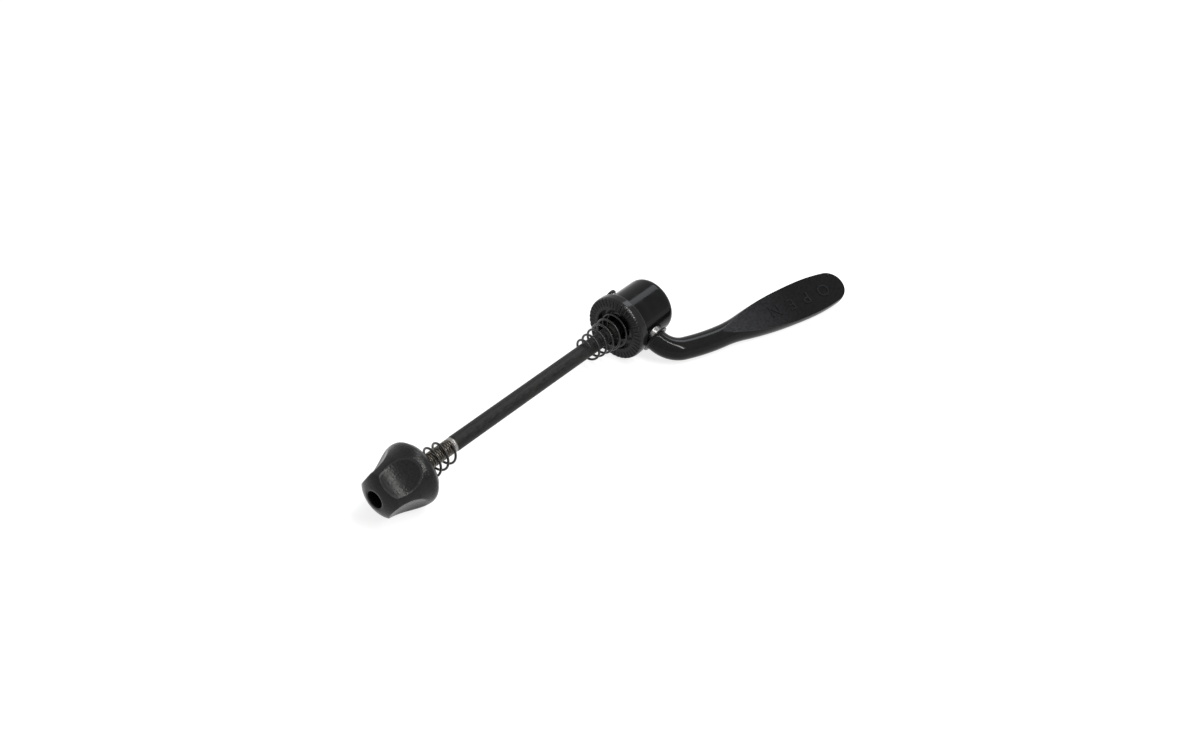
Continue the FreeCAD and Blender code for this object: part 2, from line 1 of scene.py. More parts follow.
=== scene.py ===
# %% [markdown]
# # A quick release skewer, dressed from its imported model
#
# The skewer holds a bicycle wheel in its frame: a rod through the hollow axle, a nut on one end and a
# cam lever on the other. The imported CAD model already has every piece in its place, so this lesson
# never fits anything by eye: each new surface is worked out from the same sizes, in the same frame,
# and rides on the CAD body that it belongs to.

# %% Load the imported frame
import json
import math

import bmesh
import bpy
import numpy as np
from mathutils import Matrix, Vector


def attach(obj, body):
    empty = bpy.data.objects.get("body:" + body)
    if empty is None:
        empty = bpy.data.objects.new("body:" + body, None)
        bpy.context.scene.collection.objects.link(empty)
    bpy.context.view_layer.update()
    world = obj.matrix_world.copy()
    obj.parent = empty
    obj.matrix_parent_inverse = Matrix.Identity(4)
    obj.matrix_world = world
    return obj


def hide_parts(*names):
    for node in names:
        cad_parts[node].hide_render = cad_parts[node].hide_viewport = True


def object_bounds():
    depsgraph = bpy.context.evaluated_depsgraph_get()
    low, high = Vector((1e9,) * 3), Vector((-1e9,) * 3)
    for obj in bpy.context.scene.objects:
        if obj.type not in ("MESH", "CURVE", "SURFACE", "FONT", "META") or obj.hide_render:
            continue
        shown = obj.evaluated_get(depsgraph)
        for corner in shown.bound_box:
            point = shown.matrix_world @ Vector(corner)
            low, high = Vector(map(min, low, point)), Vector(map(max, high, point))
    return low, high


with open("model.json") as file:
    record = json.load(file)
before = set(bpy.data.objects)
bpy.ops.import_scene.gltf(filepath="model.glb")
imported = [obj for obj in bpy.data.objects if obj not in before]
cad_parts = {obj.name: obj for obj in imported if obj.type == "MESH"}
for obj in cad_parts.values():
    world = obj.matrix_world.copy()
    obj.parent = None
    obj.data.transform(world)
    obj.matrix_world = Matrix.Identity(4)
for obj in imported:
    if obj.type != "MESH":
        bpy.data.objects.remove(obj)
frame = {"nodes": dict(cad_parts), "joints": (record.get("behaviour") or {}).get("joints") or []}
cad_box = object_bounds()
MM = 0.001
print("nodes:", sorted(frame["nodes"]))

# %% [markdown]
# ## How the skewer lies
#
# On a table the skewer rests on its nut, its clamp ring and the middle of its lever, so it lies rolled
# about its rod. Shapes are easier to draw upright, with Y along the cam shaft and Z square to it, and
# to lay over at the end. The lever's hinge axis in the record says how far the skewer is rolled, so
# the angle needn't be written down a second time.

# %% Lie of the skewer
swing = next(joint for joint in frame["joints"] if joint["name"] == "lever_swing")
along_rod = np.array([1.0, 0.0, 0.0])
along_shaft = -np.array(swing["axis"])
LIE = np.stack([along_rod, along_shaft, np.cross(along_rod, along_shaft)])
ROLL = math.atan2(along_shaft[2], along_shaft[1])


def lay(points):
    """Upright points as the skewer lies: x along the rod, y along the cam shaft, z square to both."""
    return points @ LIE


print(f"rolled {math.degrees(ROLL):.1f} degrees about the rod")

# %% [markdown]
# ## From a grid of numbers to a mesh
#
# Every piece here was turned, coiled, moulded or forged, so each is a profile that goes round an axis
# or travels along a line. That is a grid of points: rows along the profile, columns round it. Blender's
# Screw modifier could do the plain ones, but a grid of numbers also takes threads, scoops and teeth,
# because any row can be pushed in or out before the mesh is made. Rows that shrink to one point become
# poles, which are merged so that the skin is closed.

# %% Meshes from grids
CREASE = 35.0
MERGE_DISTANCE = 1e-7


def grid_faces(rows, columns, ring):
    """Corner numbers of the faces between neighbours; columns close round, and on a ring rows do too."""
    row, column = np.meshgrid(np.arange(rows if ring else rows - 1), np.arange(columns), indexing="ij")
    next_row = (row + 1) % rows
    next_column = (column + 1) % columns
    corners = [(row, column), (row, next_column), (next_row, next_column), (next_row, column)]
    return np.stack([r * columns + c for r, c in corners], axis=-1).reshape(-1, 4)


def shade(mesh, crease):
    """Shades smoothly, except over edges that are sharper than the crease in degrees."""
    mesh.polygons.foreach_set("use_smooth", np.ones(len(mesh.polygons), dtype=bool))
    mesh.set_sharp_from_angle(angle=math.radians(crease))


def close_skin(mesh, crease):
    """Merges the points of each pole, turns all faces outwards and shades the skin."""
    skin = bmesh.new()
    skin.from_mesh(mesh)
    bmesh.ops.remove_doubles(skin, verts=skin.verts, dist=MERGE_DISTANCE)
    bmesh.ops.recalc_face_normals(skin, faces=skin.faces)
    skin.to_mesh(mesh)
    skin.free()
    shade(mesh, crease)


def add_mark(mesh, name, numbers):
    """Keeps one number per point on the mesh, for its finish to read."""
    layer = mesh.attributes.new(name, "FLOAT", "POINT")
    layer.data.foreach_set("value", numbers.astype(np.float32))


def make_mesh(name, grids, rings, **marks):
    """One mesh from grids of points in millimetres; each mark has a grid of numbers per grid of points."""
    counts = [grid.shape[0] * grid.shape[1] for grid in grids]
    firsts = np.cumsum([0] + counts[:-1])
    points = np.concatenate([grid.reshape(-1, 3) for grid in grids]) * MM
    shells = zip(grids, rings, firsts)
    faces = np.concatenate([grid_faces(*grid.shape[:2], ring) + first for grid, ring, first in shells])
    mesh = bpy.data.meshes.new(name)
    mesh.from_pydata(points.tolist(), [], faces.tolist())
    for mark_name, numbers in marks.items():
        add_mark(mesh, mark_name, np.concatenate([grid.ravel() for grid in numbers]))
    close_skin(mesh, CREASE)
    return mesh


def into_scene(name, data):
    """A new object for a mesh, text, lamp or camera, linked into the scene."""
    made = bpy.data.objects.new(name, data)
    bpy.context.scene.collection.objects.link(made)
    return made


def show(name, mesh, body, finish):
    """Puts a mesh in the scene on its CAD body and its finish."""
    piece = into_scene(name, mesh)
    piece.data.materials.append(finish)
    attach(piece, body)
    print(f"{name}: {len(mesh.polygons)} faces on {body}")
    return piece


print("an open grid of 4 by 6 points has", len(grid_faces(4, 6, ring=False)), "faces")

# %% [markdown]
# ## Lathe tools
#
# Turned parts have a small radius on every edge, and those edges are what catches the light. A profile
# is therefore a list of corners: a length along the axis, a radius, and how much of the edges is eased
# off there. A Bevel modifier could do the same afterwards, but it would bevel threads and teeth too. One
# formula eases all corners at once, and another spins the profile round.

# %% Profiles and turning
EASE_STEPS = np.linspace(0.0, 1.0, 7)


def eased(corners, closed):
    """Rounds each corner P from A to B on its two edges: (1-t)^2 A + 2t(1-t) P + t^2 B."""
    corners = np.array(corners, dtype=float)
    place, cut = corners[:, :2], corners[:, 2:]
    before, after = np.roll(place, 1, axis=0) - place, np.roll(place, -1, axis=0) - place
    start = place + cut * before / np.linalg.norm(before, axis=1, keepdims=True)
    end = place + cut * after / np.linalg.norm(after, axis=1, keepdims=True)
    t = EASE_STEPS[None, :, None]
    curve = (1 - t) ** 2 * start[:, None] + 2 * t * (1 - t) * place[:, None] + t**2 * end[:, None]
    points = curve.reshape(-1, 2)
    if not closed:
        inner = points[len(EASE_STEPS) : -len(EASE_STEPS)]
        points = np.concatenate([place[:1], inner, place[-1:]])
    return points


def round_angles(columns):
    """Equal steps of angle for one full turn."""
    return np.linspace(0.0, 2 * np.pi, columns, endpoint=False)


def turned(profile, columns):
    """A lathe about X: the profile's (length, radius) becomes (length, radius cos a, radius sin a)."""
    angle = round_angles(columns)
    length, radius = profile[:, :1], profile[:, 1:]
    return np.stack([length + 0 * angle, radius * np.cos(angle), radius * np.sin(angle)], axis=-1)


def turned_across(profile, columns):
    """A lathe about Y, for the cam shaft: (length, radius) becomes (radius cos a, length, radius sin a)."""
    return turned(profile, columns)[..., [1, 0, 2]]


print("each eased corner has", len(EASE_STEPS), "points")

# %% [markdown]
# ## Finishes
#
# The skewer is black all over, but no two blacks are alike: gloss paint on the housing, semi-gloss on
# the lever with a dull face, a dull rod, grained plastic and blackened wire. Blackness hides colour, so
# these finishes live from roughness and fine relief. Image textures could carry both, but patterns that
# are worked out from Object coordinates stay sharp at any distance and stay put on each piece. Nodes
# can be wired by hand in the Shader Editor, but for eight finishes a few helpers are quicker.

# %% Node helpers


def plug(finish, socket, source):
    """Links a node's output to a socket, or sets the socket to a number, vector or colour."""
    if isinstance(source, bpy.types.NodeSocket):
        finish.node_tree.links.new(source, socket)
    else:
        socket.default_value = source


def put(finish, kind, inputs, **settings):
    """Adds a node to a finish with its own settings, and plugs in what feeds it."""
    made = finish.node_tree.nodes.new(kind)
    for setting, choice in settings.items():
        setattr(made, setting, choice)
    for socket, source in inputs.items():
        plug(finish, made.inputs[socket], source)
    return made


def new_finish(name, specular, metallic=0.0):
    """A Principled finish with its constant numbers on the shader's own sockets."""
    finish = bpy.data.materials.new(name)
    finish.use_nodes = True
    shader = finish.node_tree.nodes["Principled BSDF"]
    shader.inputs["Metallic"].default_value = metallic
    shader.inputs["Specular IOR Level"].default_value = specular
    return finish


def feed(finish, **sources):
    """Links patterns to the shader, each to the socket of that name."""
    shader = finish.node_tree.nodes["Principled BSDF"]
    for socket, source in sources.items():
        plug(finish, shader.inputs[socket.replace("_", " ").title()], source)


print("node helpers:", ", ".join(helper.__name__ for helper in (plug, put, new_finish, feed)))

# %% [markdown]
# ## Patterns
#
# A pattern is one number for every point of a piece. Some come from the place, such as noise, and some
# from the mesh, where the shape's own function marked what is a rim, a flat or bare steel. Painting such
# masks by hand would work too, but a mark that is worked out with the shape always fits it.

# %% Patterns


def own_place(finish):
    """Where a point is on its piece, in metres: the Object coordinates."""
    return put(finish, "ShaderNodeTexCoord", {}).outputs["Object"]


def mapped(finish, place, **changes):
    """A place that is stretched or turned before a pattern reads it."""
    inputs = {name.title(): change for name, change in changes.items()}
    return put(finish, "ShaderNodeMapping", {"Vector": place, **inputs}).outputs["Vector"]


def speckle(finish, scale, detail, stretch=(1.0, 1.0, 1.0)):
    """Noise on Object coordinates; the scale counts waves per metre, and a small stretch draws them out."""
    place = mapped(finish, own_place(finish), scale=stretch)
    inputs = {"Vector": place, "Scale": scale, "Detail": detail}
    return put(finish, "ShaderNodeTexNoise", inputs).outputs["Fac"]


def mark(finish, name):
    """A number per point that the mesh carries."""
    return put(finish, "ShaderNodeAttribute", {}, attribute_name=name).outputs["Fac"]


print("patterns:", ", ".join(pattern.__name__ for pattern in (speckle, mark)))

# %% [markdown]
# ## From patterns to looks
#
# A pattern becomes a roughness, a colour or a height by being spread over a range, by choosing between
# two numbers or two colours, or by lifting the surface. A Color Ramp could do the first two, but ranges
# written as numbers are easier to read in a script.

# %% Ranges, mixes and relief
# The Mix node has its sockets once for each kind of data, so they go by number
NUMBER_A, NUMBER_B, NUMBER_OUT = 2, 3, 0
COLOUR_A, COLOUR_B, COLOUR_OUT = 6, 7, 2


def spread(finish, source, low, high, start=0.3, end=0.7):
    """Maps a pattern from the range of start to end, for noise its middle, to the range of low to high."""
    numbers = {"From Min": start, "From Max": end, "To Min": low, "To Max": high}
    return put(finish, "ShaderNodeMapRange", {"Value": source, **numbers}).outputs["Result"]


def between(finish, factor, first, second):
    """A number that is the first where the factor is 0 and the second where it is 1."""
    mix = put(finish, "ShaderNodeMix", {0: factor, NUMBER_A: first, NUMBER_B: second})
    return mix.outputs[NUMBER_OUT]


def tint(finish, factor, first, second):
    """A colour from the first to the second; each is a fixed colour or another node's output."""
    ends = [(*colour, 1.0) if isinstance(colour, tuple) else colour for colour in (first, second)]
    mix = put(finish, "ShaderNodeMix", {0: factor, COLOUR_A: ends[0], COLOUR_B: ends[1]}, data_type="RGBA")
    return mix.outputs[COLOUR_OUT]


def mottle(finish, pattern, dark, pale):
    """A colour that wanders from a dark to a pale shade with a pattern."""
    return tint(finish, spread(finish, pattern, 0.0, 1.0), dark, pale)


def relief(finish, height, depth, below=None):
    """Bump of a real depth in metres from a height pattern, on top of another bump if one is given."""
    inputs = {"Height": height, "Strength": 1.0, "Distance": depth}
    if below is not None:
        inputs["Normal"] = below
    return put(finish, "ShaderNodeBump", inputs).outputs["Normal"]


print("looks:", ", ".join(look.__name__ for look in (spread, between, tint, mottle, relief)))

# %% [markdown]
# ## The rod
#
# The rod is five millimetre steel with a thread cut on its far end. A Screw modifier could wind a
# thread profile, but it leaves a seam at both ends. Here the thread is a wave in the radius instead:
# the crest's place turns once round for each 0.8 mm along, so one grid holds thread, run-out and shank.
# The eye that the cam goes through is a second shell.

# %% Rod surface
ROD_R, THREAD_R = 2.5, 2.42
THREAD_PITCH, THREAD_DEPTH, THREAD_FADE = 0.8, 0.44, 1.0
CREST_EDGE, VALLEY_EDGE = 0.18, 0.82
ROD_END, THREAD_END, SHANK_END = -96.2, -73.0, 5.0
DIE_STOP = THREAD_END - 0.7
END_CHAMFER = 0.5
ROW_STEP = 0.08
ROD_COLUMNS = 64
EYE_X, EYE_HALF, EYE_EASE = 9.131, 3.5, 0.5
EYE_R, EYE_BORE_R, BORE_EASE = 4.6, 2.85, 0.2


def threaded_rod():
    """Radius = shank or crest minus depth times a clipped triangle wave of (x / pitch - angle / turn)."""
    angle = round_angles(ROD_COLUMNS)
    wound = np.arange(ROD_END + END_CHAMFER, THREAD_END, ROW_STEP)
    run_out = THREAD_END + np.array([0.0, 0.2, 0.6])
    x = np.concatenate([[ROD_END, ROD_END], wound, run_out, [SHANK_END, SHANK_END]])
    shank_step = THREAD_END + np.array([-0.2, 0.1])
    knots = [ROD_END, ROD_END + END_CHAMFER, *shank_step, SHANK_END]
    radius = np.interp(x, knots, [THREAD_R - END_CHAMFER, THREAD_R, THREAD_R, ROD_R, ROD_R])
    radius[[0, -1]] = 0.0
    cut_knots = [ROD_END, ROD_END + THREAD_FADE, DIE_STOP - THREAD_FADE, DIE_STOP]
    depth = THREAD_DEPTH * np.interp(x, cut_knots, [0.0, 1.0, 1.0, 0.0])
    phase = x[:, None] / THREAD_PITCH - angle / (2 * np.pi)
    wave = np.abs(2 * (phase % 1.0) - 1)
    valley = np.clip((wave - CREST_EDGE) / (VALLEY_EDGE - CREST_EDGE), 0.0, 1.0)
    r = radius[:, None] - depth[:, None] * valley
    band_knots = DIE_STOP + np.array([-1.2, -0.6, 0.0, 0.5])
    bare = np.interp(x, band_knots, [0.5, 1.0, 1.0, 0.0])
    points = np.stack([x[:, None] + 0 * r, r * np.cos(angle), r * np.sin(angle)], axis=-1)
    return points, bare[:, None] + 0 * r


rod_grid, rod_bare = threaded_rod()
eye_corners = [
    (-EYE_HALF, EYE_BORE_R, BORE_EASE),
    (-EYE_HALF, EYE_R, EYE_EASE),
    (EYE_HALF, EYE_R, EYE_EASE),
    (EYE_HALF, EYE_BORE_R, BORE_EASE),
]
eye_turned = turned_across(eased(eye_corners, closed=True), ROD_COLUMNS)
eye_grid = lay(eye_turned + EYE_X * along_rod)
eye_bare = np.zeros(eye_grid.shape[:2])
print("rod grid", rod_grid.shape, "eye grid", eye_grid.shape)

# %% [markdown]
# ## Rod finish
#
# The shank has a dull black conversion coat with fine lengthwise draw marks and light speckle. The
# thread is bare steel gone brown-grey, and a bright band is left where the die stopped. Two materials
# with a border between them could show that, but one finish that reads a number from the mesh can fade
# from one to the other. The number is 0 on the coat, 0.5 on the thread and 1 on the band.

# %% Rod finish
COAT_DARK, COAT_PALE = (0.005, 0.0048, 0.0048), (0.024, 0.0235, 0.023)
THREAD_STEEL, BAND_STEEL = (0.135, 0.125, 0.11), (0.28, 0.272, 0.26)
BARE_ROUGHNESS, BARE_METALLIC = 0.27, 0.9
COAT_DEPTH, DRAW_DEPTH = 6e-6, 4e-6
rod_finish = new_finish("rod_black", specular=0.14)
coat_grain = speckle(rod_finish, 1700.0, 4.0, stretch=(0.35, 1.0, 1.0))
draw_marks = speckle(rod_finish, 1800.0, 2.0, stretch=(0.03, 1.0, 1.0))
bareness = mark(rod_finish, "bare")
on_band = spread(rod_finish, bareness, 0.0, 1.0, start=0.55, end=0.95)
on_steel = spread(rod_finish, bareness, 0.0, 1.0, start=0.1, end=0.45)
coat_tone = mottle(rod_finish, coat_grain, COAT_DARK, COAT_PALE)
bare_tone = tint(rod_finish, on_band, THREAD_STEEL, BAND_STEEL)
coat_rough = spread(rod_finish, coat_grain, 0.4, 0.58)
feed(
    rod_finish,
    base_color=tint(rod_finish, on_steel, coat_tone, bare_tone),
    metallic=spread(rod_finish, on_steel, 0.0, BARE_METALLIC, start=0.0, end=1.0),
    roughness=between(rod_finish, on_steel, coat_rough, BARE_ROUGHNESS),
    normal=relief(rod_finish, draw_marks, DRAW_DEPTH, relief(rod_finish, coat_grain, COAT_DEPTH)),
)

rod_mesh = make_mesh("rod_with_thread", [rod_grid, eye_grid], [False, True], bare=[rod_bare, eye_bare])
rod = show("rod_with_thread", rod_mesh, "rod", rod_finish)
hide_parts("skewer_rod")

# %% [markdown]
# ## The springs
#
# Two conical springs keep nut and clamp ring apart while the wheel is put in. Their wide ends sit in
# the seats of the nut and of the ring. A curve object with a bevel would give the wire quickly, but its
# cross-section twists on a cone, so the wire is a circle carried along the helix in a frame made from
# the helix's own outward direction. A flat disc closes each cut end. The nut's spring hangs on the rod
# by its own weight, so its middle is a little below the rod's.

# %% Spring wire
WIRE_D = 0.75
WIRE_COLUMNS, ROWS_PER_TURN = 16, 80
NUT_SPRING_PLACE = np.array([-87.575, 0.0, -0.8])
RING_SPRING_PLACE = np.array([1.575, 0.0, -0.02])
TURNED_ABOUT = np.array([-1.0, -1.0, 1.0])


def coiled(base_d, tip_d, length, turns, start):
    """Left-handed line (h, R cos a, R sin a), a = start - t, h and R even in t; a circle rides on it."""
    t = np.linspace(0.0, 2 * np.pi * turns, int(ROWS_PER_TURN * turns) + 1)
    share = (t / t[-1])[:, None]
    angle = math.radians(start) - t
    outward = np.stack([0 * t, np.cos(angle), np.sin(angle)], axis=-1)
    radius = (base_d - WIRE_D) / 2 - (base_d - tip_d) / 2 * share
    line = share * (length - WIRE_D) * along_rod + radius * outward
    ahead = np.gradient(line, axis=0)
    ahead /= np.linalg.norm(ahead, axis=1, keepdims=True)
    outward -= np.sum(outward * ahead, axis=1, keepdims=True) * ahead
    outward /= np.linalg.norm(outward, axis=1, keepdims=True)
    upward = np.cross(ahead, outward)
    section = round_angles(WIRE_COLUMNS)[None, :, None]
    around = outward[:, None] * np.cos(section) + upward[:, None] * np.sin(section)
    tube = line[:, None] + WIRE_D / 2 * around
    first_cut, last_cut = 0 * tube[:1] + line[0], 0 * tube[:1] + line[-1]
    return np.concatenate([first_cut, tube, last_cut])


nut_coil = coiled(base_d=10.0, tip_d=8.1, length=12.9, turns=3.7, start=11.0) + NUT_SPRING_PLACE
ring_coil = coiled(base_d=11.9, tip_d=8.0, length=16.75, turns=5.5, start=233.0)
ring_coil = ring_coil * TURNED_ABOUT + RING_SPRING_PLACE
print("nut coil", nut_coil.shape, "ring coil", ring_coil.shape)

# %% [markdown]
# ## Wire finish
#
# Spring wire is drawn, coiled and blackened. The black is thin, so light lies along it as a narrow grey
# line. A plain glossy black would make that line too clean, so a fine grain varies gloss and height and
# breaks it up a little.

# %% Wire finish and springs
WIRE_DARK, WIRE_PALE = (0.006, 0.006, 0.0062), (0.02, 0.0196, 0.019)
WIRE_GRAIN_DEPTH = 5e-6
wire_finish = new_finish("blackened_wire", specular=0.36)
wire_grain = speckle(wire_finish, 3500.0, 3.0)
feed(
    wire_finish,
    base_color=mottle(wire_finish, wire_grain, WIRE_DARK, WIRE_PALE),
    roughness=spread(wire_finish, wire_grain, 0.18, 0.32),
    normal=relief(wire_finish, wire_grain, WIRE_GRAIN_DEPTH),
)

nut_spring_mesh = make_mesh("nut_coil_spring", [nut_coil], [False])
nut_spring = show("nut_coil_spring", nut_spring_mesh, "far_spring", wire_finish)
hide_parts("nut_spring")
ring_spring_mesh = make_mesh("ring_coil_spring", [ring_coil], [False])
ring_spring = show("ring_coil_spring", ring_spring_mesh, "housing", wire_finish)
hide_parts("lever_spring")

# %% [markdown]
# ## The clamp ring
#
# The ring's face bites into the fork end with forty radial grooves, and its middle is sunk for the
# spring. It is one turned profile. The grooves could be cut with an array of boxes, but here the face
# is simply pushed in wherever a point is near a groove's middle line, which also rounds the edges.

# %% Ring surface
HOUSE_RISE = 0.594
RING_TEETH, TOOTH_COLUMNS = 40, 14
TEETH_START, TEETH_FULL, TEETH_END, TEETH_ROWS = 7.9, 8.3, 9.7, 10
GROOVE_WIDTH, GROOVE_DEPTH, GROOVE_EDGE = 0.6, 0.14, 0.12
RING_THICK, RING_R, FRONT_R = 3.7, 10.75, 10.42
TAPER_END, TAPER_R = 1.1, 10.73
WELL_DEPTH, WELL_R, RING_BORE_R = 2.0, 6.9, 4.4
COLLAR_END, COLLAR_R, COLLAR_BORE_R = 4.9, 7.48, 6.48
# Where grooves and marks end: two lengths along the rod for each fade, two radii for each edge
GROOVE_FADE, CREST_FADE, FACE_FADE, WELL_FADE = (0.3, 0.8), (0.02, 0.3), (0.15, 0.5), (2.1, 2.4)
FACE_EDGE, WELL_EDGE = (7.2, 7.6), (6.7, 7.0)
ring_corners = [
    (0.0, WELL_R, 0.2),
    *[(0.0, radius, 0.0) for radius in np.linspace(TEETH_START, TEETH_END, TEETH_ROWS)],
    (0.0, FRONT_R, 0.3),
    (TAPER_END, TAPER_R, 0.1),
    (RING_THICK, RING_R, 0.6),
    (RING_THICK, COLLAR_R, 0.0),
    (COLLAR_END, COLLAR_R, 0.1),
    (COLLAR_END, COLLAR_BORE_R, 0.1),
    (RING_THICK, COLLAR_BORE_R, 0.0),
    (RING_THICK, RING_BORE_R, 0.2),
    (WELL_DEPTH, RING_BORE_R, 0.2),
    (WELL_DEPTH, WELL_R, 0.15),
]


def smooth_step(low, high, number):
    """Rises from 0 to 1 between two numbers as 3t^2 - 2t^3."""
    t = np.clip((number - low) / (high - low), 0.0, 1.0)
    return t * t * (3 - 2 * t)


def smooth_fall(low, high, number):
    """Falls from 1 to 0 between two numbers: one less the smooth step."""
    return 1 - smooth_step(low, high, number)


def toothed_ring():
    """The turned face goes in by the groove's depth where its distance to a groove's line is small."""
    grid = turned(eased(ring_corners, closed=True), RING_TEETH * TOOTH_COLUMNS)
    radius = np.hypot(grid[..., 1], grid[..., 2])
    pitch = 2 * np.pi / RING_TEETH
    angle = np.arctan2(grid[..., 1], grid[..., 2])
    off_line = radius * np.abs((angle / pitch + 0.5) % 1.0 - 0.5) * pitch
    groove = smooth_fall(GROOVE_WIDTH / 2 - GROOVE_EDGE, GROOVE_WIDTH / 2 + GROOVE_EDGE, off_line)
    toothed = smooth_step(TEETH_START, TEETH_FULL, radius)
    x = grid[..., 0] + GROOVE_DEPTH * groove * toothed * smooth_fall(*GROOVE_FADE, grid[..., 0])
    grid[..., 0] = x
    marks = {
        "crest": [toothed * smooth_fall(*CREST_FADE, x) * (1 - groove)],
        "face": [smooth_step(*FACE_EDGE, radius) * smooth_fall(*FACE_FADE, x)],
        # The well mark is where the recess gets painted fill light
        "well": [smooth_fall(*WELL_EDGE, radius) * smooth_fall(*WELL_FADE, x)],
    }
    return grid + np.array([0.0, 0.0, HOUSE_RISE]), marks


ring_grid, ring_marks = toothed_ring()
print("ring grid", ring_grid.shape)

# %% [markdown]
# ## Ring finish
#
# The ring is blackened like the rod, but its face was struck with a die, so it is duller than its turned
# rim and has fine lines like rays between the teeth. The tops of the teeth are a shade lighter, because
# they touch the fork first. The sunk middle is painted lighter too, as painted fill light against the
# shade that falls in the recess. The fine lines could be more geometry, but a bump from the sine of the
# angle round the ring is enough for what light does there.

# %% Ring finish
RING_DARK, RING_PALE = (0.006, 0.006, 0.0065), (0.014, 0.014, 0.0145)
# Painted fill light: the spring's recess is drawn lighter against the shade that falls there
RUBBED_BLACK, RECESS_FILL_LIGHT = (0.022, 0.022, 0.0225), (0.05, 0.05, 0.049)
RIM_ROUGHNESS = 0.14
STRUCK_LINES, STRUCK_DEPTH, RING_GRAIN_DEPTH = 80, 2.5e-5, 9e-6


def times(finish, first, second):
    """The product of two patterns, or of a pattern and a number."""
    return put(finish, "ShaderNodeMath", {0: first, 1: second}, operation="MULTIPLY").outputs[0]


def struck_rays(finish, middle):
    """The sine of the angle round a middle line along X, times the number of lines."""
    to_middle = {0: own_place(finish), 1: tuple(-middle)}
    centred = put(finish, "ShaderNodeVectorMath", to_middle, operation="ADD").outputs[0]
    facing = mapped(finish, centred, rotation=(0.0, math.pi / 2, 0.0))
    turn = put(finish, "ShaderNodeTexGradient", {"Vector": facing}, gradient_type="RADIAL").outputs["Fac"]
    angle = times(finish, turn, 2 * math.pi * STRUCK_LINES)
    return put(finish, "ShaderNodeMath", {0: angle}, operation="SINE").outputs[0]


ring_finish = new_finish("ring_black", specular=0.17)
ring_grain = speckle(ring_finish, 2200.0, 4.0)
on_face = mark(ring_finish, "face")
rubbed = times(ring_finish, mark(ring_finish, "crest"), spread(ring_finish, ring_grain, 0.1, 0.7))
ring_tone = mottle(ring_finish, ring_grain, RING_DARK, RING_PALE)
tooth_tone = tint(ring_finish, rubbed, ring_tone, RUBBED_BLACK)
dull_face = spread(ring_finish, ring_grain, 0.34, 0.5)
ring_middle = lay(np.array([0.0, 0.0, HOUSE_RISE])) * MM
struck_face = times(ring_finish, struck_rays(ring_finish, ring_middle), on_face)
ring_bump = relief(ring_finish, ring_grain, RING_GRAIN_DEPTH)
# The well mark paints fill light into the shaded recess
feed(
    ring_finish,
    base_color=tint(ring_finish, mark(ring_finish, "well"), tooth_tone, RECESS_FILL_LIGHT),
    roughness=between(ring_finish, on_face, RIM_ROUGHNESS, dull_face),
    normal=relief(ring_finish, struck_face, STRUCK_DEPTH, ring_bump),
)
ring_mesh = make_mesh("toothed_clamp_ring", [lay(ring_grid)], [True], **ring_marks)
ring = show("toothed_clamp_ring", ring_mesh, "housing", ring_finish)
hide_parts("clamp_ring")

# %% [markdown]
# ## The housing
#
# The housing is a turned cup over the cam. Its closed end has a generous radius, which gives it the
# look of a thimble. Two holes go across it: a wide one for the shaft's journal and a narrow one for its
# riveted tail. Holes across a lathe shape don't fit its grid, so a Boolean drills them, once, and its
# result is kept as the mesh.

# %% Housing surface
HOUSE_END, HOUSE_R, HOUSE_FLOOR, HOUSE_BORE_R = 19.1, 9.2, 17.4, 7.5
SIDE_START, SIDE_STOP, SIDE_ROWS = 16.5, 4.3, 26
HOUSE_COLUMNS, PEG_COLUMNS = 180, 96
JOURNAL_HOLE_R, TAIL_HOLE_R = 4.05, 1.65
DRILL_START, DRILL_STOP = 0.5, 14.0
CAM_PLACE = np.array([9.05, 0.0, HOUSE_RISE])
house_corners = [
    (HOUSE_END, 0.0, 0.0),
    (HOUSE_END, HOUSE_R, 2.3),
    *[(x, HOUSE_R, 0.0) for x in np.linspace(SIDE_START, SIDE_STOP, SIDE_ROWS)],
    (RING_THICK, HOUSE_R, 0.2),
    (RING_THICK, HOUSE_BORE_R, 0.1),
    (HOUSE_FLOOR, HOUSE_BORE_R, 0.8),
    (HOUSE_FLOOR, 0.0, 0.0),
]
house_turned = turned(eased(house_corners, closed=False), HOUSE_COLUMNS)
house_grid = lay(house_turned + np.array([0.0, 0.0, HOUSE_RISE]))


def peg(radius, start, end, ease_start=0.0, ease_end=0.0):
    """A closed cylinder about the cam shaft's axis, from one length to another, with its edges eased."""
    edges = [(start, radius, ease_start), (end, radius, ease_end)]
    corners = [(start, 0.0, 0.0), *edges, (end, 0.0, 0.0)]
    return turned_across(eased(corners, closed=False), PEG_COLUMNS)


def as_mesh(name, source):
    """The mesh that an object has once its modifiers or its text are worked out; the object goes."""
    worked_out = source.evaluated_get(bpy.context.evaluated_depsgraph_get())
    mesh = bpy.data.meshes.new_from_object(worked_out)
    mesh.name = name
    mesh.materials.clear()
    bpy.data.objects.remove(source)
    return mesh


journal_drill = lay(peg(JOURNAL_HOLE_R, -DRILL_STOP, -DRILL_START) + CAM_PLACE)
tail_drill = lay(peg(TAIL_HOLE_R, DRILL_START, DRILL_STOP) + CAM_PLACE)
drills = into_scene("drills", make_mesh("drills", [journal_drill, tail_drill], [False, False]))
cup = into_scene("cup", make_mesh("cup", [house_grid], [False]))
bores = cup.modifiers.new("bores", "BOOLEAN")
bores.operation = "DIFFERENCE"
bores.solver = "EXACT"
bores.object = drills
drilled = as_mesh("drilled_housing", cup)
bpy.data.objects.remove(drills)
shade(drilled, CREASE)
print("drilled housing:", len(drilled.polygons), "faces")

# %% [markdown]
# ## Housing finish
#
# The housing has the glossiest paint on the skewer. Sprayed paint is never flat: it has a faint orange
# peel, and soft patches where it lies thinner and is a little duller. The base is nearly black, so what
# is seen is mostly the studio in it. A mirror-smooth black would look like glass, and it is the peel
# and the patches that make it paint.

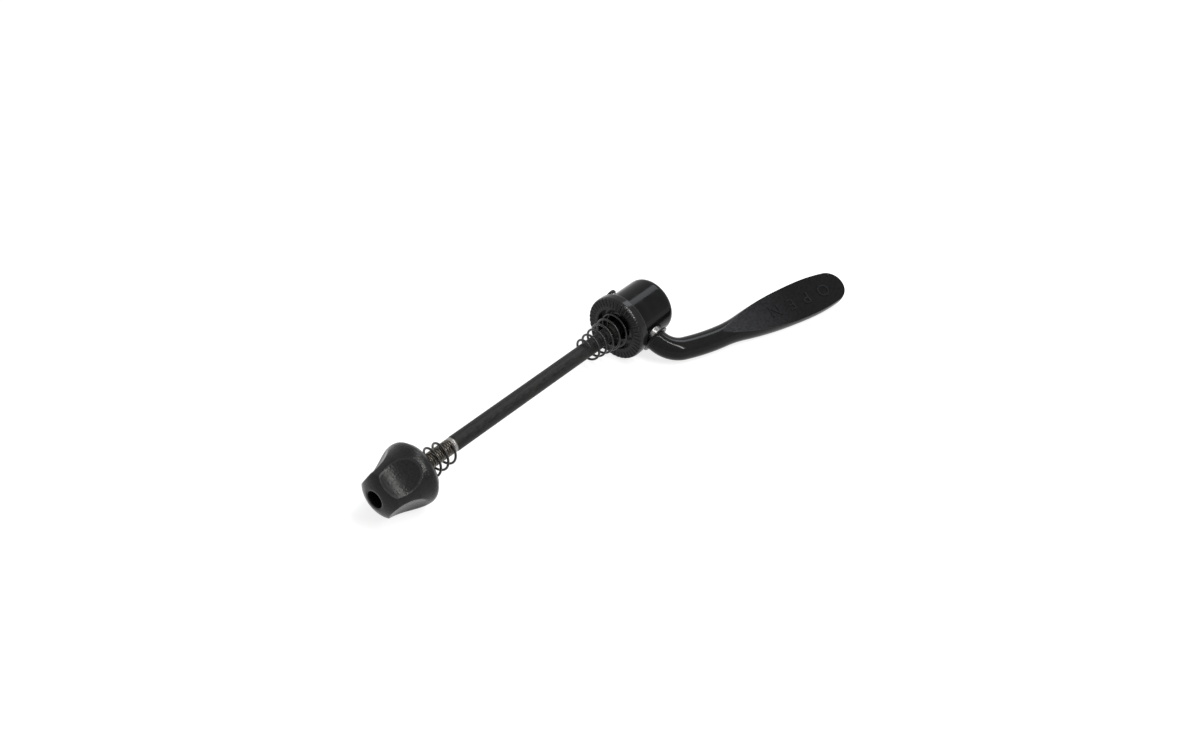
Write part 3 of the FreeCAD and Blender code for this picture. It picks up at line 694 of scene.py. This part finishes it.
# %% Housing finish
PAINT_DARK, PAINT_PALE = (0.003, 0.003, 0.0034), (0.0065, 0.0065, 0.007)
PEEL_DEPTH = 5e-6
house_finish = new_finish("gloss_black_paint", specular=0.1)
paint_patches = speckle(house_finish, 220.0, 2.0)
orange_peel = speckle(house_finish, 1100.0, 1.0)
feed(
    house_finish,
    base_color=mottle(house_finish, paint_patches, PAINT_DARK, PAINT_PALE),
    roughness=spread(house_finish, paint_patches, 0.1, 0.2),
    normal=relief(house_finish, orange_peel, PEEL_DEPTH),
)
housing = show("drilled_housing", drilled, "housing", house_finish)
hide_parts("cam_housing")

# %% [markdown]
# ## The nut
#
# The nut is a moulded plastic cap over a steel insert, with four hollows for the finger tips. Along the
# rod the floor of a hollow is an arc, deepest near the tip, and across it is a flatter arc. Cutting such
# bodies away with Booleans would leave hard rims, so the cap's radius is worked out instead: at every
# place it is the smaller of the turned profile and the hollow, and the step between the two is rounded
# a little, as a mould's edge is.

# %% Nut surface
NUT_FACE = -87.2
NUT_TURN = math.radians(33.0)
NUT_COLUMNS, SIDE_STEPS, LIP_STEPS, CROWN_STEPS = 360, 84, 8, 24
SEAT_X, LIP_R, LIP_DEPTH, LIP_WIDTH = -0.3, 8.1, 0.35, 0.5
NUT_SIDE_X = [-15.0, -12.0, -8.0, -4.8, -3.6, -2.8, -2.0, -1.3, -0.65]
NUT_SIDE_R = [7.45, 8.2, 9.15, 9.7, 9.92, 9.95, 9.8, 9.35, 8.6]
TIP_START, TIP_RISE, TIP_FACE_R, TIP_SHARPNESS = -15.0, 2.2, 3.4, 1.5
DISH_R, DISH_BACK, DISH_FLOOR, DISH_ACROSS_R = 14.5, -14.5, 6.05, 27.0
RIM_BLEND, RIM_WIDTH = 0.4, 0.22
BELLY_START, BELLY_END = -0.75, TIP_START + 0.1
HOLE_R, SLEEVE_R, FLANGE_R = 2.75, 3.72, 7.52
SLEEVE_X, FLANGE_X = -9.0, -1.7
MOUTH_EASE = np.array([0.25, 0.07, 0.0])


def soft_min(first, second, blend):
    """The smaller of two numbers, with the kink between them rounded over the blend's width."""
    share = np.clip(0.5 + 0.5 * (second - first) / blend, 0.0, 1.0)
    return second * (1 - share) + first * share - blend * share * (1 - share)


def dish_side(x, angle):
    """Radius of a hollow: an arc along gives its floor F, and an arc A across goes about C = F + A.

    The near side of that arc, seen from the rod at the angle a, is C cos a - sqrt(A^2 - (C sin a)^2).
    """
    off = (angle + np.pi / 4) % (np.pi / 2) - np.pi / 4
    along = np.clip(x - DISH_BACK, -DISH_R, DISH_R)
    centre = DISH_FLOOR + DISH_R - np.sqrt(DISH_R**2 - along**2) + DISH_ACROSS_R
    inside = DISH_ACROSS_R**2 - (centre * np.sin(off)) ** 2
    return centre * np.cos(off) - np.sqrt(np.maximum(inside, 0.0))


def cap_profile():
    """Outside of the cap before its hollows: a quarter round lip, a belly through knots, a blunt crown."""
    lip = np.linspace(0.0, np.pi / 2, LIP_STEPS)
    lip_x, lip_r = SEAT_X - LIP_DEPTH * (1 - np.cos(lip)), LIP_R + LIP_WIDTH * np.sin(lip)
    side_x = np.linspace(BELLY_START, BELLY_END, SIDE_STEPS)
    side_r = np.interp(side_x, NUT_SIDE_X, NUT_SIDE_R)
    crown = np.linspace(0.0, np.pi / 2, CROWN_STEPS)
    crown_x = TIP_START - TIP_RISE * np.sin(crown) ** TIP_SHARPNESS
    inward = np.maximum(np.cos(crown), 0.0) ** TIP_SHARPNESS
    crown_r = TIP_FACE_R + (side_r[-1] - TIP_FACE_R) * inward
    return np.concatenate([lip_x, side_x, crown_x]), np.concatenate([lip_r, side_r, crown_r])


def moulded_cap():
    """Rows run from the seat out over the lip and the hollows to the tip, and back in through the hole."""
    outer_x, outer_r = cap_profile()
    angle = round_angles(NUT_COLUMNS)[None, :]
    dish = dish_side(outer_x[:, None], angle)
    outer = soft_min(outer_r[:, None] + 0 * angle, dish, RIM_BLEND)
    rim = np.exp(-(((dish - outer_r[:, None]) / RIM_WIDTH) ** 2))
    mouth_x, mouth_r = outer_x[-1] + MOUTH_EASE[::-1], HOLE_R + MOUTH_EASE
    inner_x = np.concatenate([mouth_x, [SLEEVE_X, SLEEVE_X, FLANGE_X, FLANGE_X, SEAT_X]])
    inner_r = np.concatenate([mouth_r, [HOLE_R, SLEEVE_R, SLEEVE_R, FLANGE_R, FLANGE_R]])
    x = np.concatenate([outer_x, inner_x])[:, None] + 0 * angle
    r = np.concatenate([outer, inner_r[:, None] + 0 * angle])
    rim = np.concatenate([rim, 0 * inner_r[:, None] + 0 * angle])
    turn = angle + NUT_TURN
    return np.stack([NUT_FACE + x, -r * np.sin(turn), r * np.cos(turn)], axis=-1), rim


cap_grid, cap_rim = moulded_cap()
print("cap grid", cap_grid.shape)

# %% [markdown]
# ## Nut finish
#
# The mould was spark-eroded, so the plastic has a fine even grain that breaks the light in the hollows
# up into specks. One noise drives both its height and its tone, so the low places of the grain are also
# the darker ones. Fingers polish the nut in soft patches, which a slower noise in the roughness shows.
# The rims of the hollows are a little lighter: partly rubbed, and partly a painted highlight where their
# rounded edges catch the light.

# %% Nut finish
PLASTIC_DARK, PLASTIC_PALE = (0.002, 0.002, 0.002), (0.011, 0.011, 0.0112)
# Partly rubbed wear, partly a painted highlight on the rounded rims of the hollows
RIM_WEAR_AND_HIGHLIGHT = (0.026, 0.026, 0.0265)
MOULD_GRAIN_DEPTH = 7e-5
nut_finish = new_finish("grained_black_plastic", specular=0.2)
mould_grain = speckle(nut_finish, 1500.0, 3.0)
handling = speckle(nut_finish, 260.0, 3.0)
on_rim = spread(nut_finish, mark(nut_finish, "rim"), 0.0, 0.8, start=0.2, end=1.0)
plastic_tone = mottle(nut_finish, mould_grain, PLASTIC_DARK, PLASTIC_PALE)
feed(
    nut_finish,
    base_color=tint(nut_finish, on_rim, plastic_tone, RIM_WEAR_AND_HIGHLIGHT),
    roughness=spread(nut_finish, handling, 0.22, 0.32),
    normal=relief(nut_finish, mould_grain, MOULD_GRAIN_DEPTH),
)
cap_mesh = make_mesh("moulded_nut_cap", [cap_grid], [True], rim=[cap_rim])
cap = show("moulded_nut_cap", cap_mesh, "nut", nut_finish)
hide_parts("nut_cap")

# %% [markdown]
# ## The insert
#
# The threaded insert is a turned steel bush with a toothed flange, nearly all of it inside the cap. Its
# CAD solid already has the right form, so it stays and only gets a finish: dull plated steel with
# turning marks, which on a flange are rings round the rod.

# %% Insert finish
INSERT_DARK, INSERT_PALE = (0.1, 0.094, 0.088), (0.2, 0.19, 0.175)
TURNING_DEPTH = 6e-6


def tool_marks(finish, place, scale, distortion, **shape):
    """Even waves, as a turning tool leaves them, shaken a little by the distortion."""
    inputs = {"Vector": place, "Scale": scale, "Distortion": distortion, "Detail": 1.0}
    return put(finish, "ShaderNodeTexWave", inputs, **shape).outputs["Fac"]


insert_finish = new_finish("dull_insert_steel", specular=0.5, metallic=0.9)
insert_grain = speckle(insert_finish, 1900.0, 3.0)
insert_place = own_place(insert_finish)
turning_rings = tool_marks(insert_finish, insert_place, 900.0, 0.6, wave_type="RINGS", rings_direction="X")
feed(
    insert_finish,
    base_color=mottle(insert_finish, insert_grain, INSERT_DARK, INSERT_PALE),
    roughness=spread(insert_finish, insert_grain, 0.34, 0.5),
    normal=relief(insert_finish, turning_rings, TURNING_DEPTH),
)
insert = frame["nodes"]["nut_insert"]
insert.data.materials.clear()
insert.data.materials.append(insert_finish)
print("insert keeps its CAD solid")

# %% [markdown]
# ## The lever's line
#
# The lever is one forging: it leaves the cam shaft square to the rod, bends sharply forward and then
# gently, and widens into a blade. A Bezier curve could be drawn over the line by hand. Here it is a
# heading that changes evenly along each stretch, so that bends have true radii, and the points follow by
# adding up short steps in that heading. The forging is drawn flat and then lifted a little about the
# shaft, because this lever lies just past the middle of its swing.

# %% Lever line
ARM_R = 3.7
SHOULDER_Y = -10.65
LIFT = math.radians(7.8)
ROOT_LEN, BLADE_LEN = 0.3, 50.5
BEND_R, SWEEP_R = 8.5, 80.0
LINE_POINTS = 8001
stretch_headings = np.radians([-90.0, -90.0, -24.0, -13.6, -13.6])
bend, sweep = np.diff(stretch_headings)[1:3]
stretch_ends = np.cumsum([0.0, ROOT_LEN, BEND_R * bend, SWEEP_R * sweep, BLADE_LEN])
BLADE_START, LEVER_END = stretch_ends[3:]


def lever_line(length):
    """Place and heading at a length along the lever: the sum of short steps (cos h, sin h)."""
    fine = np.linspace(0.0, LEVER_END, LINE_POINTS)
    middle = (fine[1:] + fine[:-1]) / 2
    heading = np.interp(middle, stretch_ends, stretch_headings)
    step = fine[1] - fine[0]
    x = np.concatenate([[0.0], np.cumsum(np.cos(heading)) * step])
    y = SHOULDER_Y + np.concatenate([[0.0], np.cumsum(np.sin(heading)) * step])
    place = np.stack([np.interp(length, fine, x), np.interp(length, fine, y)], axis=-1)
    return place, np.interp(length, stretch_ends, stretch_headings)


def open_lever(points):
    """Points drawn about the shaft, turned about Y by the lift and laid where the shaft is."""
    x, y, z = points[..., 0], points[..., 1], points[..., 2]
    forward = x * np.cos(LIFT) - z * np.sin(LIFT)
    upward = x * np.sin(LIFT) + z * np.cos(LIFT)
    return lay(np.stack([forward, y, upward], axis=-1) + CAM_PLACE)


tip_place = lever_line(np.array([LEVER_END]))[0]
print("lever tip at", np.round(open_lever(np.append(tip_place[0], 0.0)), 1))

# %% [markdown]
# ## The blade's outline
#
# Four arcs give the blade its outline: out from the arm, over to the widest place, along the flank and
# round the tip. Points set by eye would leave flat spots that gloss paint shows up, so where each arc
# ends follows from two arcs that touch having their centres and their touching point in one line.

# %% Blade outline
PEAK_U, PEAK_R, TIP_R = 34.0, 6.65, 5.7
SWELL_R = 43.0
widening = PEAK_R - ARM_R
CROWN_R = (PEAK_U**2 + widening**2) / 2 / widening - SWELL_R
flank_len = BLADE_LEN - TIP_R - PEAK_U
FLANK_R = (flank_len**2 + PEAK_R**2 - TIP_R**2) / 2 / (PEAK_R - TIP_R)
SWELL_END = PEAK_U * SWELL_R / (SWELL_R + CROWN_R)
FLANK_END = PEAK_U + FLANK_R * math.cos(math.atan2(FLANK_R - PEAK_R, flank_len))


def blade_radius(u):
    """Radius along the blade from its four arcs, each as centre height plus or minus sqrt(r^2 - du^2)."""
    tip_centre = BLADE_LEN - TIP_R
    swell = ARM_R + SWELL_R - np.sqrt(SWELL_R**2 - np.clip(u, 0.0, SWELL_END) ** 2)
    crown = PEAK_R - CROWN_R + np.sqrt(CROWN_R**2 - (np.clip(u, 0.0, PEAK_U) - PEAK_U) ** 2)
    flank = PEAK_R - FLANK_R + np.sqrt(FLANK_R**2 - (np.clip(u, PEAK_U, FLANK_END) - PEAK_U) ** 2)
    tip = np.sqrt(np.maximum(TIP_R**2 - (np.clip(u, FLANK_END, BLADE_LEN) - tip_centre) ** 2, 0.0))
    return np.select([u < SWELL_END, u < PEAK_U, u < FLANK_END], [swell, crown, flank], tip)


print(f"arcs of {SWELL_R:.1f}, {CROWN_R:.1f}, {FLANK_R:.1f} and {TIP_R:.1f} mm")

# %% [markdown]
# ## The lever's skin
#
# Across, the forging is round all the way. The blade was made from that round by two flats, above and
# below, which come in slowly from the root: that is why each flat starts as a point and opens like a
# leaf. Scaling a circle flat would lose that, so the skin is a circle whose radius follows the outline,
# with its height held under the flat's height. The shoulder at the root and the riveted head on the
# shaft's other end have the same paint, so they are shells of the same mesh.

# %% Lever skin
HALF_THICK = 1.2
FLAT_KNOTS, FLAT_HEIGHTS = [-31.0, -1.0, 27.0, BLADE_LEN], [6.4, ARM_R, HALF_THICK, HALF_THICK]
FLAT_BLEND, FLAT_EDGE = 0.16, (-0.03, 0.1)
RIDGE_START, RIDGE_WIDTH = 2.0, 0.1
FOOT_LEN, FOOT_FLARE = 0.9, 0.7
FOOT_FIRST, ARM_FIRST, ROW_GAP, TIP_FIRST_ANGLE = 0.02, 1.1, 0.3, 0.16
LEVER_COLUMNS, FOOT_ROWS, ARM_ROWS, BLADE_ROWS, TIP_ROWS = 168, 8, 70, 110, 30
SHOULDER_R, SHOULDER_END = 4.95, -10.15
RIVET_R, RIVET_START, RIVET_END = 2.05, 9.65, 10.75


def flat_height(u):
    """Half the blade's thickness: it falls along straight lines to its least before the widest place."""
    return np.interp(u, FLAT_KNOTS, FLAT_HEIGHTS)


def lever_rows():
    """Lengths of the rows: close at the foot, even along arm and blade, as sines round the tip."""
    foot = np.concatenate([[0.0, 0.0], np.linspace(FOOT_FIRST, FOOT_LEN, FOOT_ROWS)])
    arm = np.linspace(ARM_FIRST, BLADE_START, ARM_ROWS)
    round_tip = BLADE_LEN - TIP_R + TIP_R * np.sin(np.linspace(TIP_FIRST_ANGLE, np.pi / 2, TIP_ROWS))
    blade = np.linspace(ROW_GAP, round_tip[0] - ROW_GAP, BLADE_ROWS)
    return np.concatenate([foot, arm, BLADE_START + blade, BLADE_START + round_tip])


def forged_lever():
    """Each row is a circle square to the line: R cos a across, the smaller of R sin a and the flat up."""
    length = lever_rows()
    u = length - BLADE_START
    flare = FOOT_FLARE * (1 - np.sqrt(1 - np.clip(1 - length / FOOT_LEN, 0.0, 1.0) ** 2))
    radius = np.where(u < 0, ARM_R + flare, blade_radius(u))
    radius[[0, -1]] = 0.0
    angle = round_angles(LEVER_COLUMNS)
    place, heading = lever_line(length)
    across = radius[:, None] * np.cos(angle)
    rise = radius[:, None] * np.sin(angle)
    ceiling = flat_height(u)[:, None]
    height = np.sign(rise) * soft_min(np.abs(rise), ceiling, FLAT_BLEND)
    height = np.where(np.abs(rise) < 1e-9, 0.0, height)
    over = np.abs(rise) - ceiling
    marks = {
        "flat": smooth_step(*FLAT_EDGE, over),
        "tipward": np.clip(u / BLADE_LEN, 0.0, 1.0)[:, None] + 0 * angle,
        "ridge": np.exp(-((over / RIDGE_WIDTH) ** 2)) * (u > RIDGE_START)[:, None],
    }
    x = place[:, :1] - np.sin(heading)[:, None] * across
    y = place[:, 1:] + np.cos(heading)[:, None] * across
    return open_lever(np.stack([x, y, height], axis=-1)), marks


lever_grid, lever_marks = forged_lever()
shoulder = open_lever(peg(SHOULDER_R, SHOULDER_Y, SHOULDER_END, ease_start=0.3, ease_end=0.15))
rivet_head = open_lever(peg(RIVET_R, RIVET_START, RIVET_END, ease_start=0.1, ease_end=0.55))
unmarked = [np.zeros(end.shape[:2]) for end in (shoulder, rivet_head)]
all_marks = {name: [numbers, *unmarked] for name, numbers in lever_marks.items()}
lever_mesh = make_mesh("forged_lever", [lever_grid, shoulder, rivet_head], [False] * 3, **all_marks)
print("lever grid", lever_grid.shape)

# %% [markdown]
# ## Lever finish
#
# Arm and edges have a smooth semi-gloss black. The flats show the texture of the forging die under the
# paint, faint near the root and deeper towards the tip, so they look dull beside the arm. Near the root
# the flats are painted a paler, bluish grey that fades towards the tip: a painted sheen, standing in for
# the softbox's reflection there. The ridge where a flat meets the round is rubbed lighter. Separate
# materials would need cut lines between them, so one finish reads from the mesh which points are on a
# flat, which are on its ridge and how far they are along the blade.

# %% Lever finish
ARM_DARK, ARM_PALE = (0.0045, 0.0045, 0.005), (0.009, 0.009, 0.0095)
# The root's paler, bluish face colour is a painted sheen that fades towards the tip
ROOT_FACE_SHEEN, TIP_FACE, FACE_PITS = (0.022, 0.0225, 0.026), (0.006, 0.006, 0.0062), (0.001, 0.001, 0.001)
RUBBED_RIDGE = (0.05, 0.051, 0.055)
ARM_ROUGHNESS = 0.1
DIE_DEPTH, PAINT_DEPTH = 9e-5, 2.5e-6
lever_finish = new_finish("semi_gloss_black_paint", specular=0.13)
on_flat = mark(lever_finish, "flat")
tipward = mark(lever_finish, "tipward")
die_grain = speckle(lever_finish, 1100.0, 4.0)
fine_grain = speckle(lever_finish, 4200.0, 2.0)
# Fades the painted sheen of the root out towards the tip
root_sheen_fade = spread(lever_finish, tipward, 0.0, 1.0, start=0.1, end=0.6)
in_pits = spread(lever_finish, die_grain, 0.0, 0.75, start=0.4, end=0.68)
on_ridge = spread(lever_finish, mark(lever_finish, "ridge"), 0.0, 0.7, start=0.0, end=1.0)
arm_tone = mottle(lever_finish, die_grain, ARM_DARK, ARM_PALE)
blade_tone = tint(lever_finish, in_pits, tint(lever_finish, root_sheen_fade, ROOT_FACE_SHEEN, TIP_FACE), FACE_PITS)
painted_tone = tint(lever_finish, on_flat, arm_tone, blade_tone)
face_rough = spread(lever_finish, tipward, 0.55, 0.85, start=0.05, end=0.5)
grain_share = spread(lever_finish, tipward, 0.2, 1.0, start=0.2, end=0.8)
face_grain = times(lever_finish, times(lever_finish, die_grain, grain_share), on_flat)
feed(
    lever_finish,
    base_color=tint(lever_finish, on_ridge, painted_tone, RUBBED_RIDGE),
    roughness=between(lever_finish, on_flat, ARM_ROUGHNESS, face_rough),
    normal=relief(lever_finish, face_grain, DIE_DEPTH, relief(lever_finish, fine_grain, PAINT_DEPTH)),
)
lever = show("forged_lever", lever_mesh, "lever", lever_finish)
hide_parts("cam_lever")

# %% [markdown]
# ## The word on the blade
#
# A lever like this says on its face which way it stands, as a switch says ON or OFF. The plain word is
# raised by a fifth of a millimetre and painted with the rest. A text object gives the letters. Turning
# the text itself into place would leave it flat, so it is made a mesh first, and then every point is laid
# on the flat by its own place along the blade, and the letters follow its slope.

# %% Raised word
WORD_PLACE, WORD_SIZE, WORD_HEIGHT, WORD_SPACING = 31.6, 6.0, 0.2, 2.1
WORD_CREASE = 30.0
WORD_MARKS = {"flat": 1.0, "tipward": 0.38, "ridge": 0.0}
word_curve = bpy.data.curves.new("open_word", "FONT")
word_curve.body = "OPEN"
word_curve.align_x = "CENTER"
word_curve.align_y = "CENTER"
word_curve.size = WORD_SIZE
word_curve.space_character = WORD_SPACING
word_curve.extrude = WORD_HEIGHT
word_curve.resolution_u = 4
word_mesh = as_mesh("raised_word", into_scene("open_word", word_curve))


def lay_word(letters):
    """Letter x runs from the tip towards the root, letter y across the blade, and z adds to the flat."""
    u = WORD_PLACE - letters[:, 0]
    place, heading = lever_line(BLADE_START + u)
    x = place[:, 0] + np.sin(heading) * letters[:, 1]
    y = place[:, 1] - np.cos(heading) * letters[:, 1]
    return open_lever(np.stack([x, y, flat_height(u) + letters[:, 2]], axis=-1))


letters = np.zeros(len(word_mesh.vertices) * 3, dtype=np.float32)
word_mesh.vertices.foreach_get("co", letters)
word_points = lay_word(letters.reshape(-1, 3).astype(float)) * MM
word_mesh.vertices.foreach_set("co", word_points.ravel())
close_skin(word_mesh, WORD_CREASE)
for mark_name, number in WORD_MARKS.items():
    add_mark(word_mesh, mark_name, np.full(len(word_mesh.vertices), number))
show("raised_word", word_mesh, "lever", lever_finish)

# %% [markdown]
# ## The cam shaft
#
# Lever and shaft are one forging, but the shaft is machined bare to run in the housing: a journal in the
# wide hole, the cam off centre in the rod's eye, and a thin tail that ends under the riveted head. Between
# the housing's round side and the lever's shoulder a bright crescent of the journal shows. It could be
# more shells of the lever, but bare steel is another material slot, so it is a piece of its own.

# %% Cam shaft
CAM_THROW, SHAFT_EASE = 0.6, 0.3
JOURNAL_R, CAM_R, TAIL_R = 4.0, 2.8, 1.6
JOURNAL_SPAN, CAM_SPAN, TAIL_SPAN = (-10.3, -3.7), (-3.8, 3.7), (3.5, 9.9)
journal = peg(JOURNAL_R, *JOURNAL_SPAN, ease_end=SHAFT_EASE)
cam = peg(CAM_R, *CAM_SPAN, ease_end=SHAFT_EASE) - np.array([0.0, 0.0, CAM_THROW])
tail = peg(TAIL_R, *TAIL_SPAN)
shaft_grids = [open_lever(grid) for grid in (journal, cam, tail)]
shaft_mesh = make_mesh("bare_cam_shaft", shaft_grids, [False] * 3)
print("cam shaft:", len(shaft_mesh.vertices), "points")

# %% [markdown]
# ## Bare steel
#
# Machined steel shows fine rings from the tool. A wave pattern that is turned into line with the shaft
# gives them, with a little noise so that no two rings are alike. An anisotropic shader could stretch the
# light in the same way, but up close it has no single rings to see.

# %% Bare steel finish
STEEL_DARK, STEEL_PALE = (0.09, 0.0885, 0.087), (0.2, 0.197, 0.194)
TOOL_DEPTH = 3e-6
steel_finish = new_finish("machined_steel", specular=0.5, metallic=1.0)
steel_grain = speckle(steel_finish, 1500.0, 3.0)
shaft_place = mapped(steel_finish, own_place(steel_finish), rotation=(-ROLL, 0.0, 0.0))
tool_rings = tool_marks(steel_finish, shaft_place, 1200.0, 0.8, wave_type="BANDS", bands_direction="Y")
feed(
    steel_finish,
    base_color=mottle(steel_finish, steel_grain, STEEL_DARK, STEEL_PALE),
    roughness=spread(steel_finish, steel_grain, 0.18, 0.32),
    normal=relief(steel_finish, tool_rings, TOOL_DEPTH),
)
show("bare_cam_shaft", shaft_mesh, "lever", steel_finish)

# %% [markdown]
# ## Floor
#
# The skewer lies on a plain pale floor. A floor lit up to white would light the skewer from below as
# well, so the floor glows only for the camera and for mirror and glass rays, and for all other rays it is
# a middling grey. That grey is a plain diffuse surface, which keeps the soft shadow.

# %% Floor
FLOOR_Z = float(cad_box[0][2])
FLOOR_HALF = 3.0
FLOOR_GLOW = 0.78
FLOOR_GREY, WHITE = (0.5, 0.5, 0.5, 1.0), (1.0, 1.0, 1.0, 1.0)
floor_sides = np.array([(-1, -1), (1, -1), (1, 1), (-1, 1)]) * FLOOR_HALF
floor_mesh = bpy.data.meshes.new("pale_floor")
floor_mesh.from_pydata([(x, y, FLOOR_Z) for x, y in floor_sides], [], [(0, 1, 2, 3)])
floor = into_scene("pale_floor", floor_mesh)


def seen_directly(owner):
    """1 for camera, mirror and glass rays, 0 for the rays that light other things."""
    path = put(owner, "ShaderNodeLightPath", {})
    seen = path.outputs["Is Camera Ray"]
    for ray in ("Is Glossy Ray", "Is Transmission Ray"):
        either = {0: seen, 1: path.outputs[ray]}
        seen = put(owner, "ShaderNodeMath", either, operation="MAXIMUM").outputs[0]
    return seen


floor_finish = bpy.data.materials.new("pale_floor")
floor_finish.use_nodes = True
floor_finish.node_tree.nodes.clear()
floor_paint = put(floor_finish, "ShaderNodeBsdfDiffuse", {"Color": FLOOR_GREY})
glow_level = times(floor_finish, seen_directly(floor_finish), FLOOR_GLOW)
floor_glow = put(floor_finish, "ShaderNodeEmission", {"Color": WHITE, "Strength": glow_level})
both = put(floor_finish, "ShaderNodeAddShader", {0: floor_paint.outputs[0], 1: floor_glow.outputs[0]})
put(floor_finish, "ShaderNodeOutputMaterial", {"Surface": both.outputs[0]})
floor_mesh.materials.append(floor_finish)
print(f"floor at {FLOOR_Z / MM:.2f} mm")

# %% [markdown]
# ## Studio
#
# A black object on white needs its light as reflections. A softbox behind the skewer draws the long pale
# strip on the housing, and a long narrow lamp on the lever's side draws the streak on the lever's bend,
# the glint on the ring's edge and the sheen in the nut's hollow. Bigger lamps would turn the black grey.
# The world is white where it is seen, like the floor, and gives only a little light.

# %% World and lamps
WORLD_LIGHT, WORLD_SEEN = 0.3, 1.0
world = bpy.data.worlds.new("white_studio")
bpy.context.scene.world = world
world.use_nodes = True
sky = world.node_tree.nodes["Background"]
sky.inputs["Color"].default_value = WHITE
sky_level = spread(world, seen_directly(world), WORLD_LIGHT, WORLD_SEEN, start=0.0, end=1.0)
plug(world, sky.inputs["Strength"], sky_level)


def softbox(name, aim, direction, distance, width, height, turn, radiance, colour):
    """An area light that looks at a place from a direction; power is radiance times pi times its area."""
    lamp = bpy.data.lights.new(name, "AREA")
    lamp.shape = "RECTANGLE"
    lamp.size = width
    lamp.size_y = height
    lamp.energy = radiance * math.pi * width * height
    lamp.color = colour
    back = np.array(direction, dtype=float) / np.linalg.norm(direction)
    level = np.cross(along_rod, back)
    level /= np.linalg.norm(level)
    angle = math.radians(turn)
    side = level * math.cos(angle) + np.cross(back, level) * math.sin(angle)
    axes = np.stack([side, np.cross(back, side), back], axis=1)
    place = np.array(aim) + distance * back
    into_scene(name, lamp).matrix_world = Matrix.Translation(place) @ Matrix(axes.tolist()).to_4x4()
    print(f"{name}: {lamp.energy:.2f} W")


softbox(
    "back_softbox",
    aim=(0.01, 0.0, 0.0),
    direction=(0.611, 0.099, 0.785),
    distance=0.55,
    width=0.18,
    height=0.28,
    turn=0.0,
    radiance=5.0,
    colour=(0.92, 0.95, 1.0),
)
softbox(
    "strip_lamp",
    aim=(0.02, -0.015, 0.0),
    direction=(0.04, -0.5, 0.865),
    distance=0.6,
    width=0.66,
    height=0.036,
    turn=-16.0,
    radiance=38.0,
    colour=(1.0, 0.99, 0.97),
)

# %% [markdown]
# ## Camera
#
# The photograph looks down on the skewer from the nut's end, about forty degrees above the table. The
# camera could be aimed with a Track To constraint, but its place and axes come as numbers from lining up
# the rod, the nut and the lever with the photograph, and its focal length from how much nearer the nut
# looks than the lever. The axes are made exactly square to each other before they are used.

# %% Camera
PHOTO_WIDTH, FOCAL_PIXELS = 1200.0, 1615.85
CAMERA_PLACE = (-0.32125, -0.25182, 0.30908)
view_right = np.array([0.6408, -0.7672, 0.0267])
view_back = np.array([-0.6113, -0.4889, 0.6223])
view_back /= np.linalg.norm(view_back)
view_right -= np.dot(view_right, view_back) * view_back
view_right /= np.linalg.norm(view_right)
view_axes = np.stack([view_right, np.cross(view_back, view_right), view_back], axis=1)
lens = bpy.data.cameras.new("photo_camera")
lens.sensor_fit = "HORIZONTAL"
lens.sensor_width = 36.0
lens.lens = lens.sensor_width * FOCAL_PIXELS / PHOTO_WIDTH
lens.clip_start = 0.01
camera = into_scene("photo_camera", lens)
camera.matrix_world = Matrix.Translation(CAMERA_PLACE) @ Matrix(view_axes.tolist()).to_4x4()
bpy.context.scene.camera = camera
bpy.context.scene.view_settings.view_transform = "Standard"
print(f"lens {lens.lens:.1f} mm")
